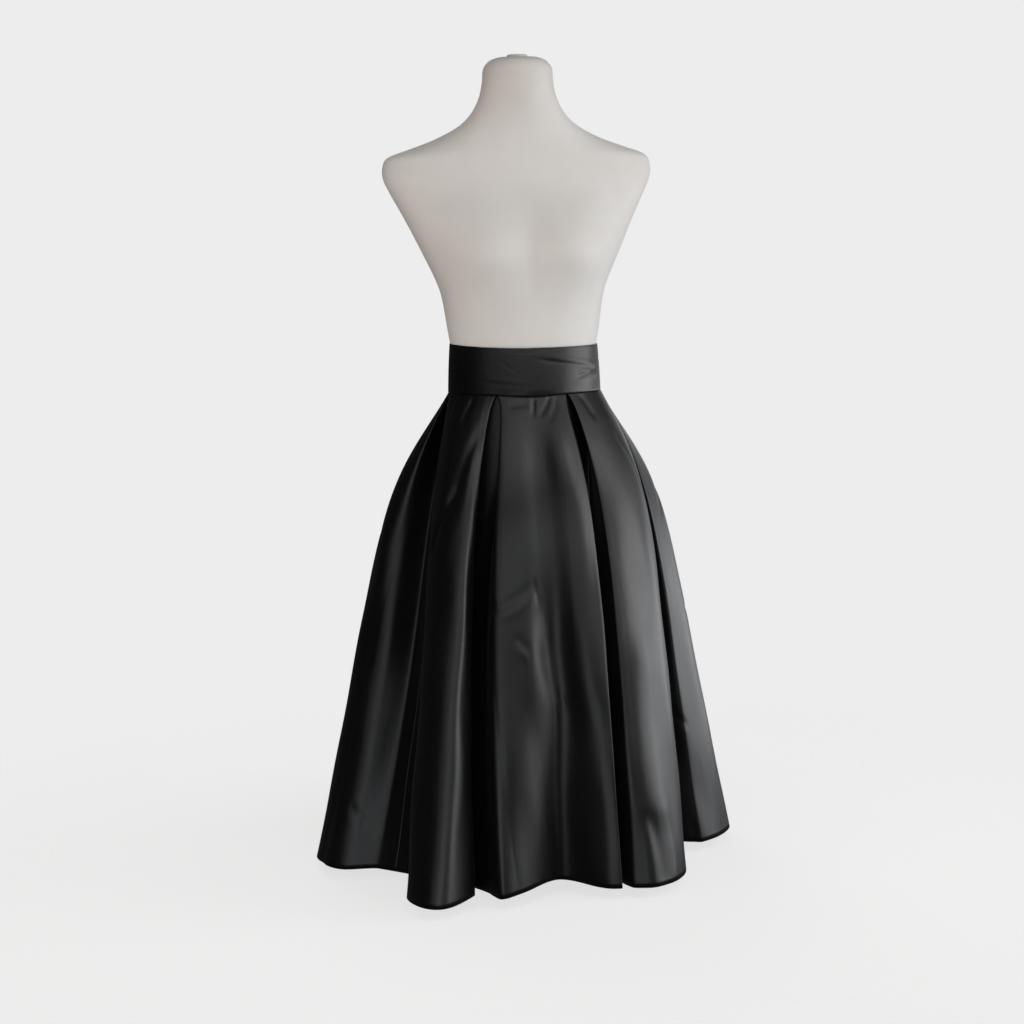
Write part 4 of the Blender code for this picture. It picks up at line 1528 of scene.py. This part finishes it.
LAMPS = (
    Lamp("window", (2.50, -0.55, 1.55), (0.0, 0.0, 0.85), 2.1, 2.9, 1.8, (1.0, 0.992, 0.985)),
    Lamp("window_fill", (2.6, -0.9, 1.0), (0.0, 0.0, 1.0), 2.0, 2.0, 1.25, (1.0, 0.995, 0.99), Reach.MATT),
    Lamp("window_sheen", (2.51, -0.58, 0.5), (0.0, 0.0, 0.3), 2.4, 1.6, 2.05, (0.95, 0.97, 1.0), Reach.SHEEN),
    Lamp("side_window", (2.16, 1.45, 0.7), (0.0, 0.0, 0.4), 2.4, 1.6, 0.4, (0.96, 0.975, 1.0), Reach.SHEEN),
    Lamp("side_gleam", (2.32, 0.94, 0.15), (0.0, 0.0, 0.2), 2.4, 0.7, 1.7, (0.94, 0.965, 1.0), Reach.SHEEN),
    Lamp("top_right", (2.0, -1.1, 3.3), (0.0, 0.0, 0.8), 1.6, 1.5, 1.8, (1.0, 0.99, 0.98), Reach.SHEEN),
    Lamp("ceiling", (0.2, -1.6, 3.6), (0.0, 0.1, 0.9), 3.6, 2.6, 1.12, (1.0, 0.985, 0.965)),
    Lamp("room", (0.88, -4.52, 1.9), (0.0, 0.0, 0.8), 7.2, 1.8, 1.25, (0.95, 0.975, 1.0), Reach.SHEEN),
    Lamp("room_left", (-2.44, -2.91, 1.4), (0.0, 0.0, 0.6), 1.9, 1.7, 0.6, (1.0, 0.97, 0.97), Reach.SHEEN),
    Lamp("low_gleam", (-0.25, -1.6, 0.1), (-0.3, 0.0, 0.2), 0.9, 0.35, 1.7, (0.92, 0.96, 1.0), Reach.SHEEN),
    Lamp("room_fill", (0.48, -4.58, 0.9), (0.0, 0.0, 0.6), 4.0, 2.2, 1.35, (1.0, 0.99, 0.98), Reach.MATT),
    Lamp("wall", (-2.8, -1.4, 0.9), (0.0, 0.0, 0.9), 2.0, 2.0, 2.7, (1.0, 0.87, 0.78), Reach.MATT),
    Lamp("bounce", (-0.2, -2.6, 0.4), (0.0, 0.0, 0.9), 2.4, 1.2, 1.9, (1.0, 0.97, 0.95), Reach.MATT),
    Lamp("back_fill", (-0.6, 3.0, 2.2), (0.0, 0.0, 1.0), 2.4, 2.0, 3.0, (1.0, 0.99, 0.98), Reach.MATT),
    Lamp("back_sheen", (0.96, 2.63, 1.2), (0.0, 0.0, 0.5), 1.2, 2.0, 1.0, (0.96, 0.98, 1.0), Reach.SHEEN),
)


@dataclass
class Studio:
    """Plain pale floor and background, soft lights, and the camera."""
    focal_px: float = 2187.0
    picture_px: int = 1024
    sensor_mm: float = 36.0
    clip_end: float = 60.0
    distance: float = 3.5
    lift: float = 1.024
    pitch_deg: float = 7.5
    roll_deg: float = 1.15
    turn_deg: float = 7.5
    side: float = 0.0238
    backdrop: tuple = (0.846, 0.846, 0.846)
    ambient: tuple = (0.022, 0.022, 0.024)
    dome_radius: float = 9.0
    floor_radius: float = 2.6
    floor_levels: tuple = (-0.002, -0.001)
    paper: float = 0.22
    glow: float = 0.70
    fade: tuple = (0.40, 1.35)

    def camera(self) -> None:
        """Place the camera at the picture's viewing angle."""
        turn, pitch, roll = (math.radians(value) for value in (self.turn_deg, self.pitch_deg, self.roll_deg))
        right = Vector((math.cos(turn), -math.sin(turn), 0.0))
        level = Vector((math.sin(turn), math.cos(turn), 0.0))
        ahead = level * math.cos(pitch) - Vector((0.0, 0.0, math.sin(pitch)))
        up = right.cross(ahead)
        place = -level * self.distance - right * self.side + Vector((0.0, 0.0, self.lift))
        tilted_right = right * math.cos(roll) - up * math.sin(roll)
        tilted_up = right * math.sin(roll) + up * math.cos(roll)
        data = bpy.data.cameras.new("camera")
        data.sensor_width = self.sensor_mm
        data.lens = self.focal_px / self.picture_px * self.sensor_mm
        data.clip_end = self.clip_end
        made = linked("camera", data)
        columns = Matrix((tilted_right, tilted_up, -ahead)).transposed()
        made.matrix_world = Matrix.Translation(place) @ columns.to_4x4()
        bpy.context.scene.camera = made

    def light(self) -> None:
        """Add the lamps and a dim even surround."""
        for lamp in LAMPS:
            lamp.build()
        world = bpy.data.worlds.new("surround")
        world.use_nodes = True
        world.node_tree.nodes["Background"].inputs["Color"].default_value = (*self.ambient, 1.0)
        bpy.context.scene.world = world
        bpy.context.scene.view_settings.view_transform = "Standard"

    def stage(self) -> None:
        """Add the pale floor, which fades into the pale background."""
        dome = bmesh.new()
        bmesh.ops.create_uvsphere(dome, u_segments=64, v_segments=32, radius=self.dome_radius)
        backdrop = linked("backdrop", written("backdrop", dome))
        graph = Graph("backdrop")
        glow = {"Color": (*self.backdrop, 1.0), "Strength": 1.0}
        backdrop.data.materials.append(graph.output(graph.node("ShaderNodeEmission", None, glow)))
        for ray in ("diffuse", "glossy", "shadow", "transmission"):
            setattr(backdrop, f"visible_{ray}", False)
        low, high = self.floor_levels
        radius = self.floor_radius
        floor = linked("floor", turned("floor", ((0.0, low), (radius, low), (radius, high), (0.0, high)), 96))
        floor.visible_glossy = False
        graph = Graph("floor")
        reach = graph.node("ShaderNodeVectorMath", {"operation": "LENGTH"}, {0: graph.place()}, "Value")
        limits = {"From Min": self.fade[0], "From Max": self.fade[1], "To Min": 1.0, "To Max": 0.0}
        fade = graph.node("ShaderNodeMapRange", {"interpolation_type": "SMOOTHSTEP"},
                          {"Value": reach, **limits})
        paper = graph.node("ShaderNodeBsdfDiffuse", None, {"Color": (*[self.paper] * 3, 1.0)})
        glow = {"Color": (*[self.glow] * 3, 1.0), "Strength": 1.0}
        glow = graph.node("ShaderNodeEmission", None, glow)
        lit = graph.node("ShaderNodeAddShader", None, {0: paper, 1: glow})
        clear = graph.node("ShaderNodeBsdfTransparent")
        mixed = graph.node("ShaderNodeMixShader", None, {0: fade, 1: clear, 2: lit})
        floor.data.materials.append(graph.output(mixed))


def main() -> None:
    """Build the scene piece by piece."""
    logging.basicConfig(level=logging.INFO, format="%(message)s")
    studio = Studio()
    studio.camera()
    for part in (Stand(), DressForm(), Waistband(), SkirtCloth(), Zip()):
        part.build()
        LOG.info("built %s", type(part).__name__)
    studio.light()
    studio.stage()


if __name__ == "__main__":
    main()
